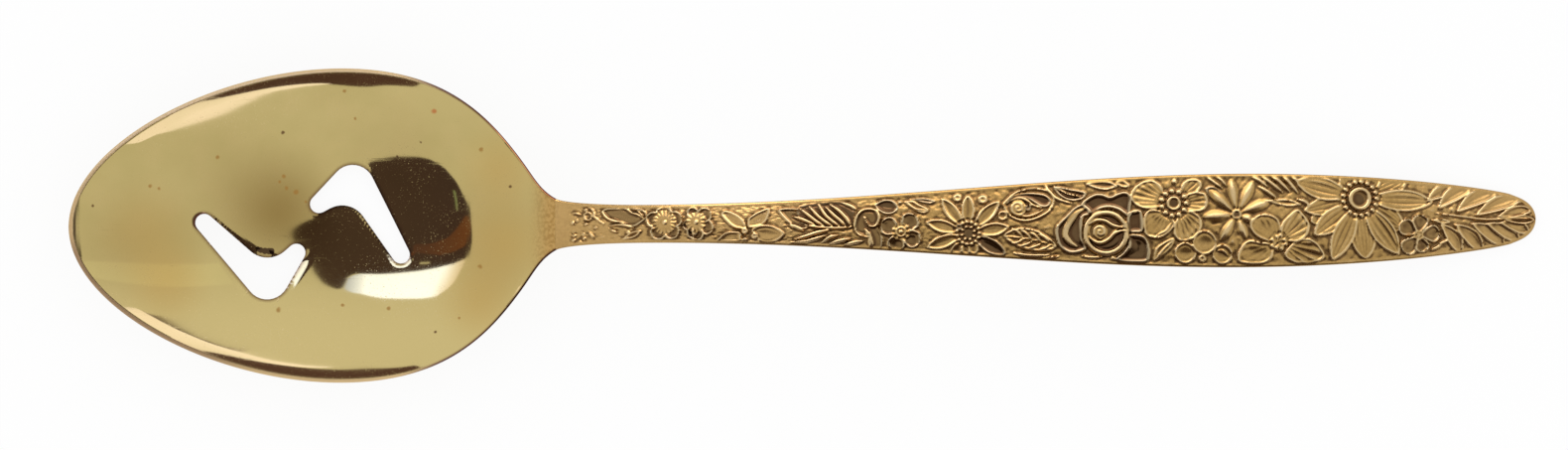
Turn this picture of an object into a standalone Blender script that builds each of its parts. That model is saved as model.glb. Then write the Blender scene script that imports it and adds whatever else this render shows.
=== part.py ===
"""Pierced serving spoon: a pierced bowl and an arched handle that meet face to face at the neck.

The spoon lies as it does on a table, bowl up, along X: the bowl's tip is at -X and the handle's end at +X.
Z = 0 is the table and the origin is the middle of its length. Sizes are in metres.
"""

import math
from collections import namedtuple

import bmesh
import bpy
from mathutils import Vector
from mathutils.geometry import interpolate_bezier

# Outline seen from above: lengths along the spoon, one after another from the bowl's tip
TIP_TO_WIDEST = 0.0395
WIDEST_TO_SHOULDER = 0.0260
SHOULDER_TO_ROOT = 0.0052
ROOT_TO_NECK = 0.0133
NECK_TO_BROADEST = 0.0860
BROADEST_TO_END = 0.0430

# Outline: full widths at those places
BOWL_WIDTH = 0.0455
SHOULDER_WIDTH = 0.0192
ROOT_WIDTH = 0.0079
NECK_WIDTH = 0.0055
HANDLE_WIDTH = 0.0136

# Outline: how far the edge runs on straight at each place before it bends (before it, after it)
TIP_PULL = 0.0115
WIDEST_PULLS = (0.0188, 0.0150)
SHOULDER_PULLS = (0.0080, 0.0034)
ROOT_PULLS = (0.0020, 0.0028)
NECK_PULLS = (0.0075, 0.0320)
BROADEST_PULLS = (0.0280, 0.0215)
END_PULL = 0.0057
SHOULDER_ANGLE = math.radians(-53.3)
ROOT_ANGLE = math.radians(-29.1)

# Dish of the bowl
DISH_DEPTH = 0.0096
DISH_LEAN = 0.35  # how far the deepest place leans from the widest place towards the handle
DISH_FULLNESS = 0.3  # 0 is a parabola across the bowl, more gives a flatter floor and steeper walls
RIM_BAND = 0.0009  # flat top of the rim
STANDING_FLAT = 0.0004  # how much of the underside is ground flat under the bowl and under the handle's end

# Height of the edge above the bowl's rim, and how steeply it climbs there
SHOULDER_RISE = 0.0010
ROOT_RISE = 0.0018
NECK_RISE = 0.0048
BROADEST_RISE = 0.0019
SHOULDER_SLOPE = 0.12
ROOT_SLOPE = 0.19
NECK_SLOPE = 0.25
BROADEST_SLOPE = -0.22
END_SLOPE = -0.05

# Thickness on the centre line, height of the side edge, and crown of the upper face
BOWL_WALL = 0.0013
ROOT_WALL = 0.0026
NECK_WALL = 0.0033
HANDLE_WALL = 0.0025
END_WALL = 0.0020
RIM_EDGE = 0.0004
ROOT_EDGE = 0.0014
NECK_EDGE = 0.0019
HANDLE_EDGE = 0.0015
END_EDGE = 0.0014
NECK_CROWN = 0.0005
HANDLE_CROWN = 0.0005
END_ROUNDING = 0.0026  # half-width under which crown and belly die away to the tips

# Piercings: two bent slots, each a wide elbow with a long and a short arm
ELBOW_RADIUS = 0.0031
ARM_TIP_RADIUS = 0.0013
LONG_ARM = 0.0123
SHORT_ARM = 0.0056
ARM_SPREAD = math.radians(96)
INNER_BEND_RADIUS = 0.0035
THROAT = 0.00285  # from the elbow's centre to the inner bend
BEND_CLEARANCE = 0.0001  # least space between the circles of the inner bend and the short arm's tip
SLOT_PLACES = (  # elbow's centre from the bowl's widest place, and the way its long arm points
    (-0.0103, -0.0074, math.radians(139)),
    (0.0016, 0.0057, math.radians(306)),
)
CUT_PAST = 0.002  # how far the cutters reach past the metal

# Joint at the root, where the handle is brazed to the bowl
JOINT_GAP = 0.0003

# Facets
STEPS_ACROSS = 20
STEPS_ALONG = {"tip": 12, "widest": 12, "shoulder": 4, "root": 6, "neck": 22, "broadest": 16}
ARC_STEP = math.radians(12)
SHARP_ANGLE = math.radians(35)
MERGE = 1e-6

Knot = namedtuple("Knot", "name x half angle pulls edge slope wall land crown band")
Station = namedtuple("Station", "x half normal edge wall land crown band")


def knots():
    """The named places along the spoon, from the bowl's tip to the handle's end."""
    lengths = (
        TIP_TO_WIDEST,
        WIDEST_TO_SHOULDER,
        SHOULDER_TO_ROOT,
        ROOT_TO_NECK,
        NECK_TO_BROADEST,
        BROADEST_TO_END,
    )
    start = -sum(lengths) / 2
    x = [start + sum(lengths[:i]) for i in range(len(lengths) + 1)]
    rim = DISH_DEPTH + BOWL_WALL - STANDING_FLAT
    tip = Knot(
        name="tip",
        x=x[0],
        half=0,
        angle=math.pi / 2,
        pulls=(0, TIP_PULL),
        edge=rim,
        slope=0,
        wall=BOWL_WALL,
        land=RIM_EDGE,
        crown=0,
        band=RIM_BAND,
    )
    widest = tip._replace(name="widest", x=x[1], half=BOWL_WIDTH / 2, angle=0, pulls=WIDEST_PULLS)
    shoulder = widest._replace(
        name="shoulder",
        x=x[2],
        half=SHOULDER_WIDTH / 2,
        angle=SHOULDER_ANGLE,
        pulls=SHOULDER_PULLS,
        edge=rim + SHOULDER_RISE,
        slope=SHOULDER_SLOPE,
    )
    root = Knot(
        name="root",
        x=x[3],
        half=ROOT_WIDTH / 2,
        angle=ROOT_ANGLE,
        pulls=ROOT_PULLS,
        edge=rim + ROOT_RISE,
        slope=ROOT_SLOPE,
        wall=ROOT_WALL,
        land=ROOT_EDGE,
        crown=0,
        band=0,
    )
    neck = Knot(
        name="neck",
        x=x[4],
        half=NECK_WIDTH / 2,
        angle=0,
        pulls=NECK_PULLS,
        edge=rim + NECK_RISE,
        slope=NECK_SLOPE,
        wall=NECK_WALL,
        land=NECK_EDGE,
        crown=NECK_CROWN,
        band=0,
    )
    broadest = Knot(
        name="broadest",
        x=x[5],
        half=HANDLE_WIDTH / 2,
        angle=0,
        pulls=BROADEST_PULLS,
        edge=rim + BROADEST_RISE,
        slope=BROADEST_SLOPE,
        wall=HANDLE_WALL,
        land=HANDLE_EDGE,
        crown=HANDLE_CROWN,
        band=0,
    )
    end = broadest._replace(
        name="end",
        x=x[6],
        half=0,
        angle=-math.pi / 2,
        pulls=(END_PULL, 0),
        edge=END_EDGE - STANDING_FLAT,
        slope=END_SLOPE,
        wall=END_WALL,
        land=END_EDGE,
    )
    return [tip, widest, shoulder, root, neck, broadest, end]


def stretch(first, last):
    """Stations from one knot to the next: the outline is a Bezier curve, the edge's height a cubic in x."""
    ends = [Vector((k.x, k.half)) for k in (first, last)]
    ways = [Vector((math.cos(k.angle), math.sin(k.angle))) for k in (first, last)]
    leave = ends[0] + ways[0] * first.pulls[1]
    arrive = ends[1] - ways[1] * last.pulls[0]
    steps = STEPS_ALONG[first.name]
    points = interpolate_bezier(ends[0], leave, arrive, ends[1], steps + 1)
    made = []
    for i, point in enumerate(points):
        before = points[i - 1] if i else ends[0] - ways[0]
        after = points[i + 1] if i < steps else ends[1] + ways[1]
        along = (after - point).normalized() + (point - before).normalized()
        run = last.x - first.x
        u = (point.x - first.x) / run
        ease = u * u * (3 - 2 * u)

        def between(name):
            return getattr(first, name) + (getattr(last, name) - getattr(first, name)) * ease

        climb = run * u * (1 - u) * ((1 - u) * first.slope - u * last.slope)
        made.append(
            Station(
                x=point.x,
                half=max(point.y, 0),
                normal=Vector((along.y, -along.x)).normalized(),
                edge=between("edge") + climb,
                wall=between("wall"),
                land=between("land"),
                crown=between("crown"),
                band=between("band"),
            )
        )
    return made


def stations(places, first, last):
    """All stations from one named knot to another."""
    names = [k.name for k in places]
    i, j = names.index(first), names.index(last)
    made = stretch(places[i], places[i + 1])
    for k in range(i + 1, j):
        made += stretch(places[k], places[k + 1])[1:]
    return made


def dish_fall(place, widest, neck):
    """How the dish deepens: with the square of the width, leaning to the handle and gone at the neck."""
    if place.x >= neck.x:
        return 0
    lean = 1 + DISH_LEAN * (place.x - widest.x) / TIP_TO_WIDEST
    return max(place.half**2 - neck.half**2, 0) * lean


def dished_sections(places, line):
    """The rings of a run of stations, with the dish at its full depth at its deepest place."""
    widest, neck = places[1], places[4]
    deepest = max(dish_fall(p, widest, neck) for p in stations(places, "tip", "root"))
    return [section(p, DISH_DEPTH * dish_fall(p, widest, neck) / deepest) for p in line]


def bowl_profile(s):
    """Height across the dish, 0 on the centre line and 1 at the edge."""
    return (1 - DISH_FULLNESS) * s**2 + DISH_FULLNESS * s**4


def section(place, dish):
    """One closed ring of points round the spoon at a station: over the top and back underneath."""
    dying = math.sin(math.pi / 2 * min(1, place.half / END_ROUNDING))
    crown = place.crown * dying
    belly = (place.wall + dish - place.crown - place.land) * dying
    inner_x = place.x + place.band * place.normal.x
    inner_half = max(place.half + place.band * place.normal.y, 0)
    shares = [2 * j / STEPS_ACROSS - 1 for j in range(STEPS_ACROSS + 1)]
    over = []
    for s in shares:
        height = place.edge + crown * (1 - s**2) - dish * dying * (1 - bowl_profile(s))
        over.append((inner_x, s * inner_half, height))
    under = []
    for s in reversed(shares):
        height = place.edge - place.land - belly * (1 - bowl_profile(s))
        under.append((place.x, s * place.half, max(height, 0)))
    right = (place.x, place.half, place.edge)
    left = (place.x, -place.half, place.edge)
    return [*over, right, *under, left]


def loft(name, rings):
    """A closed solid through the rings. A flat end ring is capped, and one that is a point closes itself."""
    shape = bmesh.new()
    rows = [[shape.verts.new(p) for p in ring] for ring in rings]
    count = len(rows[0])
    for near, far in zip(rows, rows[1:]):
        for j in range(count):
            k = (j + 1) % count
            shape.faces.new((near[j], near[k], far[k], far[j]))
    for row in (rows[0], rows[-1]):
        shape.faces.new(row)
    bmesh.ops.remove_doubles(shape, verts=shape.verts[:], dist=MERGE)
    flat = [f for f in shape.faces if f.calc_area() < MERGE**2]
    bmesh.ops.delete(shape, geom=flat, context="FACES")
    bmesh.ops.recalc_face_normals(shape, faces=shape.faces[:])
    mesh = bpy.data.meshes.new(name)
    shape.to_mesh(mesh)
    shape.free()
    mesh.shade_smooth()
    mesh.set_sharp_from_angle(angle=SHARP_ANGLE)
    made = bpy.data.objects.new(name, mesh)
    bpy.context.collection.objects.link(made)
    return made


def tangent_outline(circles):
    """Outline round circles (centre, radius) joined by tangents; a negative radius bends inwards."""
    points = []
    touches = []
    for (a, ra), (b, rb) in zip(circles, circles[1:] + circles[:1]):
        gap = b - a
        turn = math.asin((ra - rb) / gap.length)
        out = math.atan2(gap.y, gap.x) - math.pi / 2 + turn
        touches.append(out)
    for i, (centre, radius) in enumerate(circles):
        start, stop = touches[i - 1], touches[i]
        sweep = (stop - start) % (2 * math.pi)
        if radius < 0:
            sweep -= 2 * math.pi
        steps = max(2, round(abs(sweep) / ARC_STEP))
        for k in range(steps + 1):
            angle = start + sweep * k / steps
            points.append(centre + Vector((math.cos(angle), math.sin(angle))) * radius)
    return points


def largest_bend():
    """The largest inner bend that still lies clear of the short arm's tip, measured along the bisector."""
    reach = SHORT_ARM * math.cos(ARM_SPREAD / 2)
    tip = ARM_TIP_RADIUS + BEND_CLEARANCE
    room = THROAT**2 + SHORT_ARM**2 - 2 * THROAT * reach - tip**2
    closing = 2 * (reach + tip - THROAT)
    return room / closing if closing > 0 else math.inf


def slot_outline():
    """One slot about its elbow: the long arm lies along +X and the short arm turns clockwise from it."""

    def polar(distance, angle):
        return Vector((math.cos(angle), math.sin(angle))) * distance

    bend = min(INNER_BEND_RADIUS, largest_bend())
    return tangent_outline(
        [
            (polar(0, 0), ELBOW_RADIUS),
            (polar(SHORT_ARM, -ARM_SPREAD), ARM_TIP_RADIUS),
            (polar(THROAT + bend, -ARM_SPREAD / 2), -bend),
            (polar(LONG_ARM, 0), ARM_TIP_RADIUS),
        ]
    )


def slot_cutter(name, place, widest_x, top):
    """The tool that pierces one slot, straight down through the bowl."""
    along, across, angle = place
    shape = bmesh.new()
    corners = [shape.verts.new((p.x, p.y, 0)) for p in slot_outline()]
    bmesh.ops.remove_doubles(shape, verts=corners, dist=MERGE)
    face = shape.faces.new(shape.verts[:])
    wall = bmesh.ops.extrude_face_region(shape, geom=[face])
    lifted = [v for v in wall["geom"] if isinstance(v, bmesh.types.BMVert)]
    bmesh.ops.translate(shape, verts=lifted, vec=(0, 0, top + 2 * CUT_PAST))
    bmesh.ops.recalc_face_normals(shape, faces=shape.faces[:])
    mesh = bpy.data.meshes.new(name)
    shape.to_mesh(mesh)
    shape.free()
    cutter = bpy.data.objects.new(name, mesh)
    bpy.context.collection.objects.link(cutter)
    cutter.location = (widest_x + along, across, -CUT_PAST)
    cutter.rotation_euler.z = angle
    cutter.hide_render = True
    cutter.display_type = "WIRE"
    return cutter


def plated(name, colour, roughness):
    """Gold plate over base metal."""
    material = bpy.data.materials.new(name)
    material.use_nodes = True
    shader = material.node_tree.nodes["Principled BSDF"]
    shader.inputs["Base Color"].default_value = (*colour, 1)
    shader.inputs["Metallic"].default_value = 1
    shader.inputs["Roughness"].default_value = roughness
    return material


def build_bowl(places):
    """The dished shell from the tip to the root, with its two slots pierced through it."""
    line = stations(places, "tip", "root")
    line[-1] = line[-1]._replace(x=line[-1].x - JOINT_GAP / 2)
    rings = dished_sections(places, line)
    bowl = loft("bowl", rings)
    bowl.data.materials.append(plated("polished_gold", (0.62, 0.47, 0.18), 0.12))
    top = max(point[2] for ring in rings for point in ring)
    for i, place in enumerate(SLOT_PLACES):
        cut = bowl.modifiers.new(f"slot_{i + 1}", "BOOLEAN")
        cut.operation = "DIFFERENCE"
        cut.solver = "EXACT"
        cut.object = slot_cutter(f"slot_cutter_{i + 1}", place, places[1].x, top)


def build_handle(places):
    """The arched handle from the root to its rounded end."""
    line = stations(places, "root", "end")
    line[0] = line[0]._replace(x=line[0].x + JOINT_GAP / 2)
    handle = loft("handle", dished_sections(places, line))
    handle.data.materials.append(plated("struck_gold", (0.55, 0.38, 0.13), 0.32))


def main():
    for old in list(bpy.data.objects):
        bpy.data.objects.remove(old)
    places = knots()
    build_bowl(places)
    build_handle(places)


main()
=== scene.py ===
import math

import bpy
import numpy as np
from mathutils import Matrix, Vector


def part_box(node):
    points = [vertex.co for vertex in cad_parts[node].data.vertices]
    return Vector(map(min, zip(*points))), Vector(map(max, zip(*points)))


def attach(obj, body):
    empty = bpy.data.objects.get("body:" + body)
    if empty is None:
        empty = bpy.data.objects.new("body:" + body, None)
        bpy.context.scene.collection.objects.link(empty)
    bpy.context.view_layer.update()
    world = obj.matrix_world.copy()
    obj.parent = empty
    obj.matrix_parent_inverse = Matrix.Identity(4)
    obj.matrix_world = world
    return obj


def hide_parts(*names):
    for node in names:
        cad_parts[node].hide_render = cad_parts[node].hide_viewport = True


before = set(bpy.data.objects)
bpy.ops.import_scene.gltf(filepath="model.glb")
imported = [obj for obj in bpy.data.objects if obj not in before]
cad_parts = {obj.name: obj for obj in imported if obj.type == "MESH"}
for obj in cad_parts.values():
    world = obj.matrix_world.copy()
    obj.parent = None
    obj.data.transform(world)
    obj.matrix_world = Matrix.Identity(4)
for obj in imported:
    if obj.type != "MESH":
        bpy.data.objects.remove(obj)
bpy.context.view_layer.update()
mm = 0.001  # the dictionaries give sizes in millimetres

# The blank that both pieces are struck from, by places from the bowl's tip to the handle's end
blank = {
    "places": ("tip", "widest", "shoulder", "root", "neck", "broadest", "foot", "end"),
    "runs": (39.5, 26.0, 5.2, 13.3, 86.0, 39.5, 3.5),  # length of each stretch
    "half": (0.0, 22.75, 9.6, 3.7, 2.75, 6.78, 3.55, 0.0),  # half width at each place
    "angle": (90.0, 0.0, -53.3, -29.1, 0.0, 0.0, -29.5, -90.0),  # direction of the edge there
    "pullIn": (0.0, 18.8, 8.0, 2.8, 9.0, 28.0, 1.0, 2.65),  # how far the edge runs straight before it
    "pullOut": (11.5, 15.0, 3.4, 0.8, 32.0, 23.0, 0.5, 0.0),  # and after it
    "edge": (10.5, 10.5, 11.5, 12.3, 15.3, 12.4, 1.30, 1.0),  # height of the upper edge
    "slope": (0.0, 0.0, 0.12, 0.19, 0.25, -0.22, -0.122, -0.05),  # how steeply that edge climbs
    "wall": (1.3, 1.3, 1.3, 2.6, 3.3, 2.5, 2.0, 2.0),  # thickness on the centre line
    "land": (0.4, 0.4, 0.4, 1.4, 1.9, 1.5, 1.4, 1.4),  # height of the side edge
    "crown": (0.0, 0.0, 0.0, 0.0, 0.5, 0.5, 0.5, 0.5),  # how much the upper face is domed
    "band": (0.65, 0.6, 0.1, 0.0, 0.0, 0.0, 0.0, 0.0),  # rounded top of the rim
    "endRounding": 2.6,  # half width under which dome and belly die away
    "dishDepth": 9.6,
    "dishLean": 0.35,  # how far the deepest place leans to the handle
    "tipSteepness": 0.4,  # how much more steeply the dish starts at the tip, and over what length
    "tipReach": 8.0,
    "fullness": (0.12, -0.3),  # how square the dish is across, towards the tip and towards the handle
    "fullnessFade": (-64.5, -46.5),
    "climbFrom": -48.5,  # from here the dish climbs out to the handle at an even slope
    "climb": 0.69,
    "climbEase": 2.5,
    "climbRounding": 0.3,
    "climbLook": 20,  # points behind it that give the slope to start from
    "climbEnd": 0.7,  # length over which the dish ends at the root
    "lipSlope": 0.98,  # how steeply the dish drops just inside the rim
    "lipWidth": 1.5,
    "lipStart": (-101.0, -79.0),
    "lipEnd": (-57.0, -52.0),
    "lipMost": 0.4,  # most that it adds to the slope
    "lipPower": 1.3,
    "lipLeast": (1.0, 0.3),  # least half width and least slant that it is reckoned with
    "stretchPoints": 500,  # points drawn on each stretch
    "roundingShare": 0.3,  # most that the rounded edge and the rim take of the half width
    "bandShare": 0.8,
    "weld": 0.003,  # points closer than this become one
}


def smooth(low, high, value):
    t = np.clip((value - low) / (high - low), 0, 1)
    return t * t * (3 - 2 * t)


def evenClimb(x, edge, dish, root):
    # carries the dish's slope on as it was changing, then eases it into the even climb
    floor = edge - dish
    look, easing = blank["climbLook"], blank["climbEase"]
    first = np.argmax(x > blank["climbFrom"])
    start, before = [(floor[i] - floor[i - look]) / (x[i] - x[i - look]) for i in (first, first - look)]
    quicker = (start - before) / (x[first] - x[first - look])
    u = np.clip((x - x[first]) / easing, 0, 1)
    ease = smooth(0, 1, u)
    slope = start + (blank["climb"] - start) * ease + quicker * easing * u * (1 - u) ** 2
    rise = np.concatenate([[0], np.cumsum((slope[1:] + slope[:-1]) / 2 * np.diff(x))])
    depth = edge - floor[first] - rise + rise[first]
    depth = (depth + np.hypot(depth, blank["climbRounding"] * ease)) / 2
    depth *= 1 - smooth(root - blank["climbEnd"], root, x)
    return np.where(x < x[first], dish, depth)


def drawBlank():
    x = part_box("bowl")[0].x / mm + np.concatenate([[0], np.cumsum(blank["runs"])])
    place = dict(zip(blank["places"], x))
    keys = ("edge", "wall", "land", "crown", "band")
    line = {key: [] for key in ("x", "half", "nx", "ny") + keys}
    t = np.linspace(0, 1, blank["stretchPoints"])
    for i, run in enumerate(blank["runs"]):
        a0, a1 = np.radians(blank["angle"][i]), np.radians(blank["angle"][i + 1])
        start = np.array([x[i], blank["half"][i]])
        end = np.array([x[i + 1], blank["half"][i + 1]])
        leaving = start + blank["pullOut"][i] * np.array([math.cos(a0), math.sin(a0)])
        coming = end - blank["pullIn"][i + 1] * np.array([math.cos(a1), math.sin(a1)])
        pulls = np.array([start, leaving, coming, end])
        px, py = pulls.T @ [(1 - t) ** 3, 3 * t * (1 - t) ** 2, 3 * t * t * (1 - t), t**3]
        dx, dy = np.diff(pulls, axis=0).T @ [(1 - t) ** 2, 2 * t * (1 - t), t * t]
        size = np.hypot(dx, dy)
        u = (px - x[i]) / run
        line["x"].append(px)
        line["half"].append(np.maximum(py, 0))
        line["nx"].append(dy / size)  # points from the edge into the metal
        line["ny"].append(-dx / size)
        for key in keys:
            line[key].append(blank[key][i] + (blank[key][i + 1] - blank[key][i]) * u * u * (3 - 2 * u))
        line["edge"][-1] += run * u * (1 - u) * ((1 - u) * blank["slope"][i] - u * blank["slope"][i + 1])
    line = {key: np.concatenate(parts) for key, parts in line.items()}
    neckHalf = blank["half"][blank["places"].index("neck")]
    lean = 1 + blank["dishLean"] * (line["x"] - place["widest"]) / blank["runs"][0]
    fall = np.maximum(line["half"] ** 2 - neckHalf**2, 0) * lean * (line["x"] < place["neck"])
    dish = blank["dishDepth"] * fall / fall.max()
    dish *= 1 + blank["tipSteepness"] * np.exp((place["tip"] - line["x"]) / blank["tipReach"])
    line["dish"] = evenClimb(line["x"], line["edge"], dish, place["root"])
    fading = smooth(*blank["fullnessFade"], line["x"])
    line["full"] = blank["fullness"][0] + np.diff(blank["fullness"]) * fading
    leastHalf, leastSlant = blank["lipLeast"]
    inner = np.maximum(line["half"] - line["band"], leastHalf) * np.maximum(-line["ny"], leastSlant)
    slope = line["dish"] * (2 + 2 * line["full"]) / inner
    steeper = np.clip(blank["lipSlope"] - slope, 0, blank["lipMost"])
    line["lip"] = steeper * blank["lipWidth"] / blank["lipPower"]
    line["lip"] *= smooth(*blank["lipStart"], line["x"]) * (1 - smooth(*blank["lipEnd"], line["x"]))
    line["path"] = np.concatenate([[0], np.cumsum(np.hypot(np.diff(line["x"]), np.diff(line["half"])))])
    return line, place


line, place = drawBlank()


def stationsBetween(first, last, count):
    inside = (line["x"] >= first - 1e-9) & (line["x"] <= last + 1e-9)
    path = line["path"][inside]
    at = np.linspace(path[0], path[-1], count)
    return {key: np.interp(at, path, values[inside]) for key, values in line.items()}


def hollowAcross(col, depth, s, half):
    # how far the dish lies under the edge at each share s of the half width
    bend = 1 - (1 - col["full"]) * s**2 - col["full"] * s**4
    inward = np.clip(1 - (1 - np.abs(s)) * half / blank["lipWidth"], 0, 1)
    return (depth - col["lip"]) * bend + col["lip"] * (1 - inward ** blank["lipPower"])


def ringSurface(size, first, last):
    # one closed ring at each station: over the top, round the right edge, under and back round the left edge
    stations = stationsBetween(place[first], place[last], size["along"])
    col = {key: values[:, None] for key, values in stations.items()}
    dying = np.sin(np.pi / 2 * np.minimum(1, col["half"] / blank["endRounding"]))
    soft = np.minimum(size["edgeRadius"], blank["roundingShare"] * col["half"])
    soft = np.minimum(soft, size["edgeShare"] * col["land"])
    inset = np.maximum(np.minimum(col["band"], blank["bandShare"] * col["half"]), soft)
    s = np.linspace(-1, 1, size["across"] + 1)[None, :]
    topHalf = np.maximum(col["half"] + inset * col["ny"], 0)
    topX = col["x"] + inset * col["nx"] + 0 * s
    topY = topHalf * s
    sunk = dying * hollowAcross(col, col["dish"], s, topHalf)
    topZ = col["edge"] + col["crown"] * dying * (1 - s**2) - sunk
    turn = np.linspace(0, np.pi / 2, size["edgeSteps"] + 1)[None, 1:]
    sideIn = inset * (1 - np.sin(turn))
    sideDrop = soft * (1 - np.cos(turn))
    sideX = np.hstack([col["x"] + sideIn * col["nx"], col["x"]])
    sideY = np.hstack([np.maximum(col["half"] + sideIn * col["ny"], 0), col["half"]])
    sideZ = np.hstack([col["edge"] - sideDrop, np.maximum(0, col["edge"] - col["land"])])
    v = np.linspace(1, -1, size["under"] + 1)[None, 1:-1]
    belly = (col["wall"] + col["dish"] - col["crown"] - col["land"]) * dying
    underX = col["x"] + 0 * v
    underY = col["half"] * v
    underZ = np.maximum(0, col["edge"] - col["land"] - hollowAcross(col, belly, v, col["half"]))
    x = np.hstack([topX, sideX, underX, sideX[:, ::-1], topX[:, :1]])
    y = np.hstack([topY, sideY, underY, -sideY[:, ::-1], topY[:, :1]])
    z = np.hstack([topZ, sideZ, underZ, sideZ[:, ::-1], topZ[:, :1]])
    return x, y, z


def pickOnly(piece):
    bpy.ops.object.select_all(action="DESELECT")
    piece.select_set(True)
    bpy.context.view_layer.objects.active = piece


def editAll(*steps):
    # each step works on the whole mesh of the active piece
    bpy.ops.object.mode_set(mode="EDIT")
    for step, settings in steps:
        bpy.ops.mesh.select_all(action="SELECT")
        step(**settings)
    bpy.ops.object.mode_set(mode="OBJECT")


def capEnd():
    # closes the end that meets the other piece
    bpy.ops.mesh.select_all(action="DESELECT")
    bpy.ops.mesh.select_non_manifold()
    bpy.ops.mesh.edge_face_add()


def makePlate(name, spots):
    # a flat disc bent to an outline
    bpy.ops.mesh.primitive_circle_add(vertices=len(spots), radius=1, fill_type="NGON")
    plate = bpy.context.object
    plate.name = name
    for vertex, spot in zip(plate.data.vertices, spots):
        vertex.co = [v * mm for v in spot]
    return plate


def writeMarks(piece, marks):
    for key, values in marks.items():
        mark = piece.data.attributes.new(key, "FLOAT", "POINT")
        mark.data.foreach_set("value", values.astype(np.float32))


def wrapGrid(name, x, y, z, marks):
    # a flat grid is wrapped round the rings, then its seam and poles are closed
    rows, columns = x.shape
    bpy.ops.mesh.primitive_grid_add(x_subdivisions=columns - 1, y_subdivisions=rows - 1, size=2)
    piece = bpy.context.object
    piece.name = piece.data.name = name
    flat = np.zeros(rows * columns * 3, np.float32)
    piece.data.vertices.foreach_get("co", flat)
    flat = flat.reshape(-1, 3)
    j = np.rint((flat[:, 0] + 1) / 2 * (columns - 1)).astype(int)
    i = np.rint((flat[:, 1] + 1) / 2 * (rows - 1)).astype(int)
    wrapped = np.stack([x[i, j], y[i, j], z[i, j]], axis=1) * mm
    piece.data.vertices.foreach_set("co", wrapped.astype(np.float32).ravel())
    writeMarks(piece, {key: values[i, j] for key, values in marks.items()})
    editAll(
        (bpy.ops.mesh.remove_doubles, {"threshold": blank["weld"] * mm}),
        (capEnd, {}),
        (bpy.ops.mesh.normals_make_consistent, {"inside": False}),
    )
    return piece


def finishPiece(piece, sharpAngle, material):
    pickOnly(piece)
    bpy.ops.object.shade_smooth_by_angle(angle=math.radians(sharpAngle))
    piece.data.materials.clear()
    piece.data.materials.append(material)
    print(piece.name, "made:", len(piece.data.polygons), "faces")


def curveThrough(points, closed):
    # a smooth curve through the points
    points = np.array(points, float)
    if closed:
        points = np.vstack([points[-1:], points, points[:2]])
    else:
        points = np.vstack([2 * points[:1] - points[1:2], points, 2 * points[-1:] - points[-2:-1]])
    t = np.linspace(0, 1, 6)[:-1, None]
    curve = []
    for a, b, c, d in zip(points, points[1:], points[2:], points[3:]):
        bend = (2 * a - 5 * b + 4 * c - d) * t**2 + (3 * b - a - 3 * c + d) * t**3
        curve.append(b + ((c - a) * t + bend) / 2)
    return np.vstack(curve + [points[-2:-1]])


def measureTo(curve, x, y):
    # distance to a curve, and the share of its length where it is nearest
    nearest = np.full(x.shape, 1e9)
    share = np.zeros(x.shape)
    for k, (a, b) in enumerate(zip(curve, curve[1:])):
        run = b - a
        t = np.clip(((x - a[0]) * run[0] + (y - a[1]) * run[1]) / max(run @ run, 1e-12), 0, 1)
        far = np.hypot(x - a[0] - t * run[0], y - a[1] - t * run[1])
        share = np.where(far < nearest, (k + t) / (len(curve) - 1), share)
        nearest = np.minimum(nearest, far)
    return nearest, share


def isInside(curve, x, y):
    odd = np.zeros(x.shape, bool)
    for a, b in zip(curve, curve[1:]):
        crosses = (a[1] > y) != (b[1] > y)
        odd ^= crosses & (x < a[0] + (b[0] - a[0]) * (y - a[1]) / (b[1] - a[1] + 1e-12))
    return odd


# Bowl: a thin dished shell with a flat rim and two bent slots pierced through it
bowlSizes = {
    "along": 250,
    "across": 180,
    "under": 60,
    "edgeRadius": 0.34,
    "edgeShare": 0.8,
    "edgeSteps": 7,
    "sharpAngle": 40,
    "elbowRadius": 3.15,
    "armTipRadius": 1.3,
    "longArm": 12.1,
    "shortArm": 5.55,
    "armSpread": 98.0,
    "innerBend": 3.7,
    "throat": 2.9,
    # from the widest place: along, across, turn, and how deep and how far the punch pulled the edge down
    "slots": ((-10.95, -7.5, 138.5, 0.30, 1.3), (1.5, 5.65, 305.0, 0.16, 0.55)),
    "reachFade": 0.7,  # share of that reach lost towards the tip
    "reachFadeFrom": (-77.5, -86.0),
    # round places where the edge stayed up, and the share of their radius that is quite flat
    "unpulled": ((-73.9, -2.4, 2.9), (-76.3, -3.3, 1.5), (-78.8, -10.8, 2.5)),
    "unpulledCore": 0.78,
    "slotSteps": 10,  # points on each round stretch of a slot
    "slotPointGap": 1e-6,  # points closer than this are left out
    "punchMargin": 2.0,  # the punch goes this far past the metal
    # painted dark red fringe on the slots' edges, and on the rim's side towards the handle
    "slotFringe": 0.8,
    "slotFringeReach": 0.5,
    "sideFringeReach": (0.45, 0.1),
    "sideFringeFrom": (-60, -52),
    # where the rim counts as worn: height under its top, least width, and share of its width
    "rimHeight": 0.45,
    "rimWidth": (0.15, 0.3),
    "rimShare": (1.05, 0.85),
    "rimLeast": 0.05,
    "rimStep": 15,  # every so many points of the blank's line are enough for it
}


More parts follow.
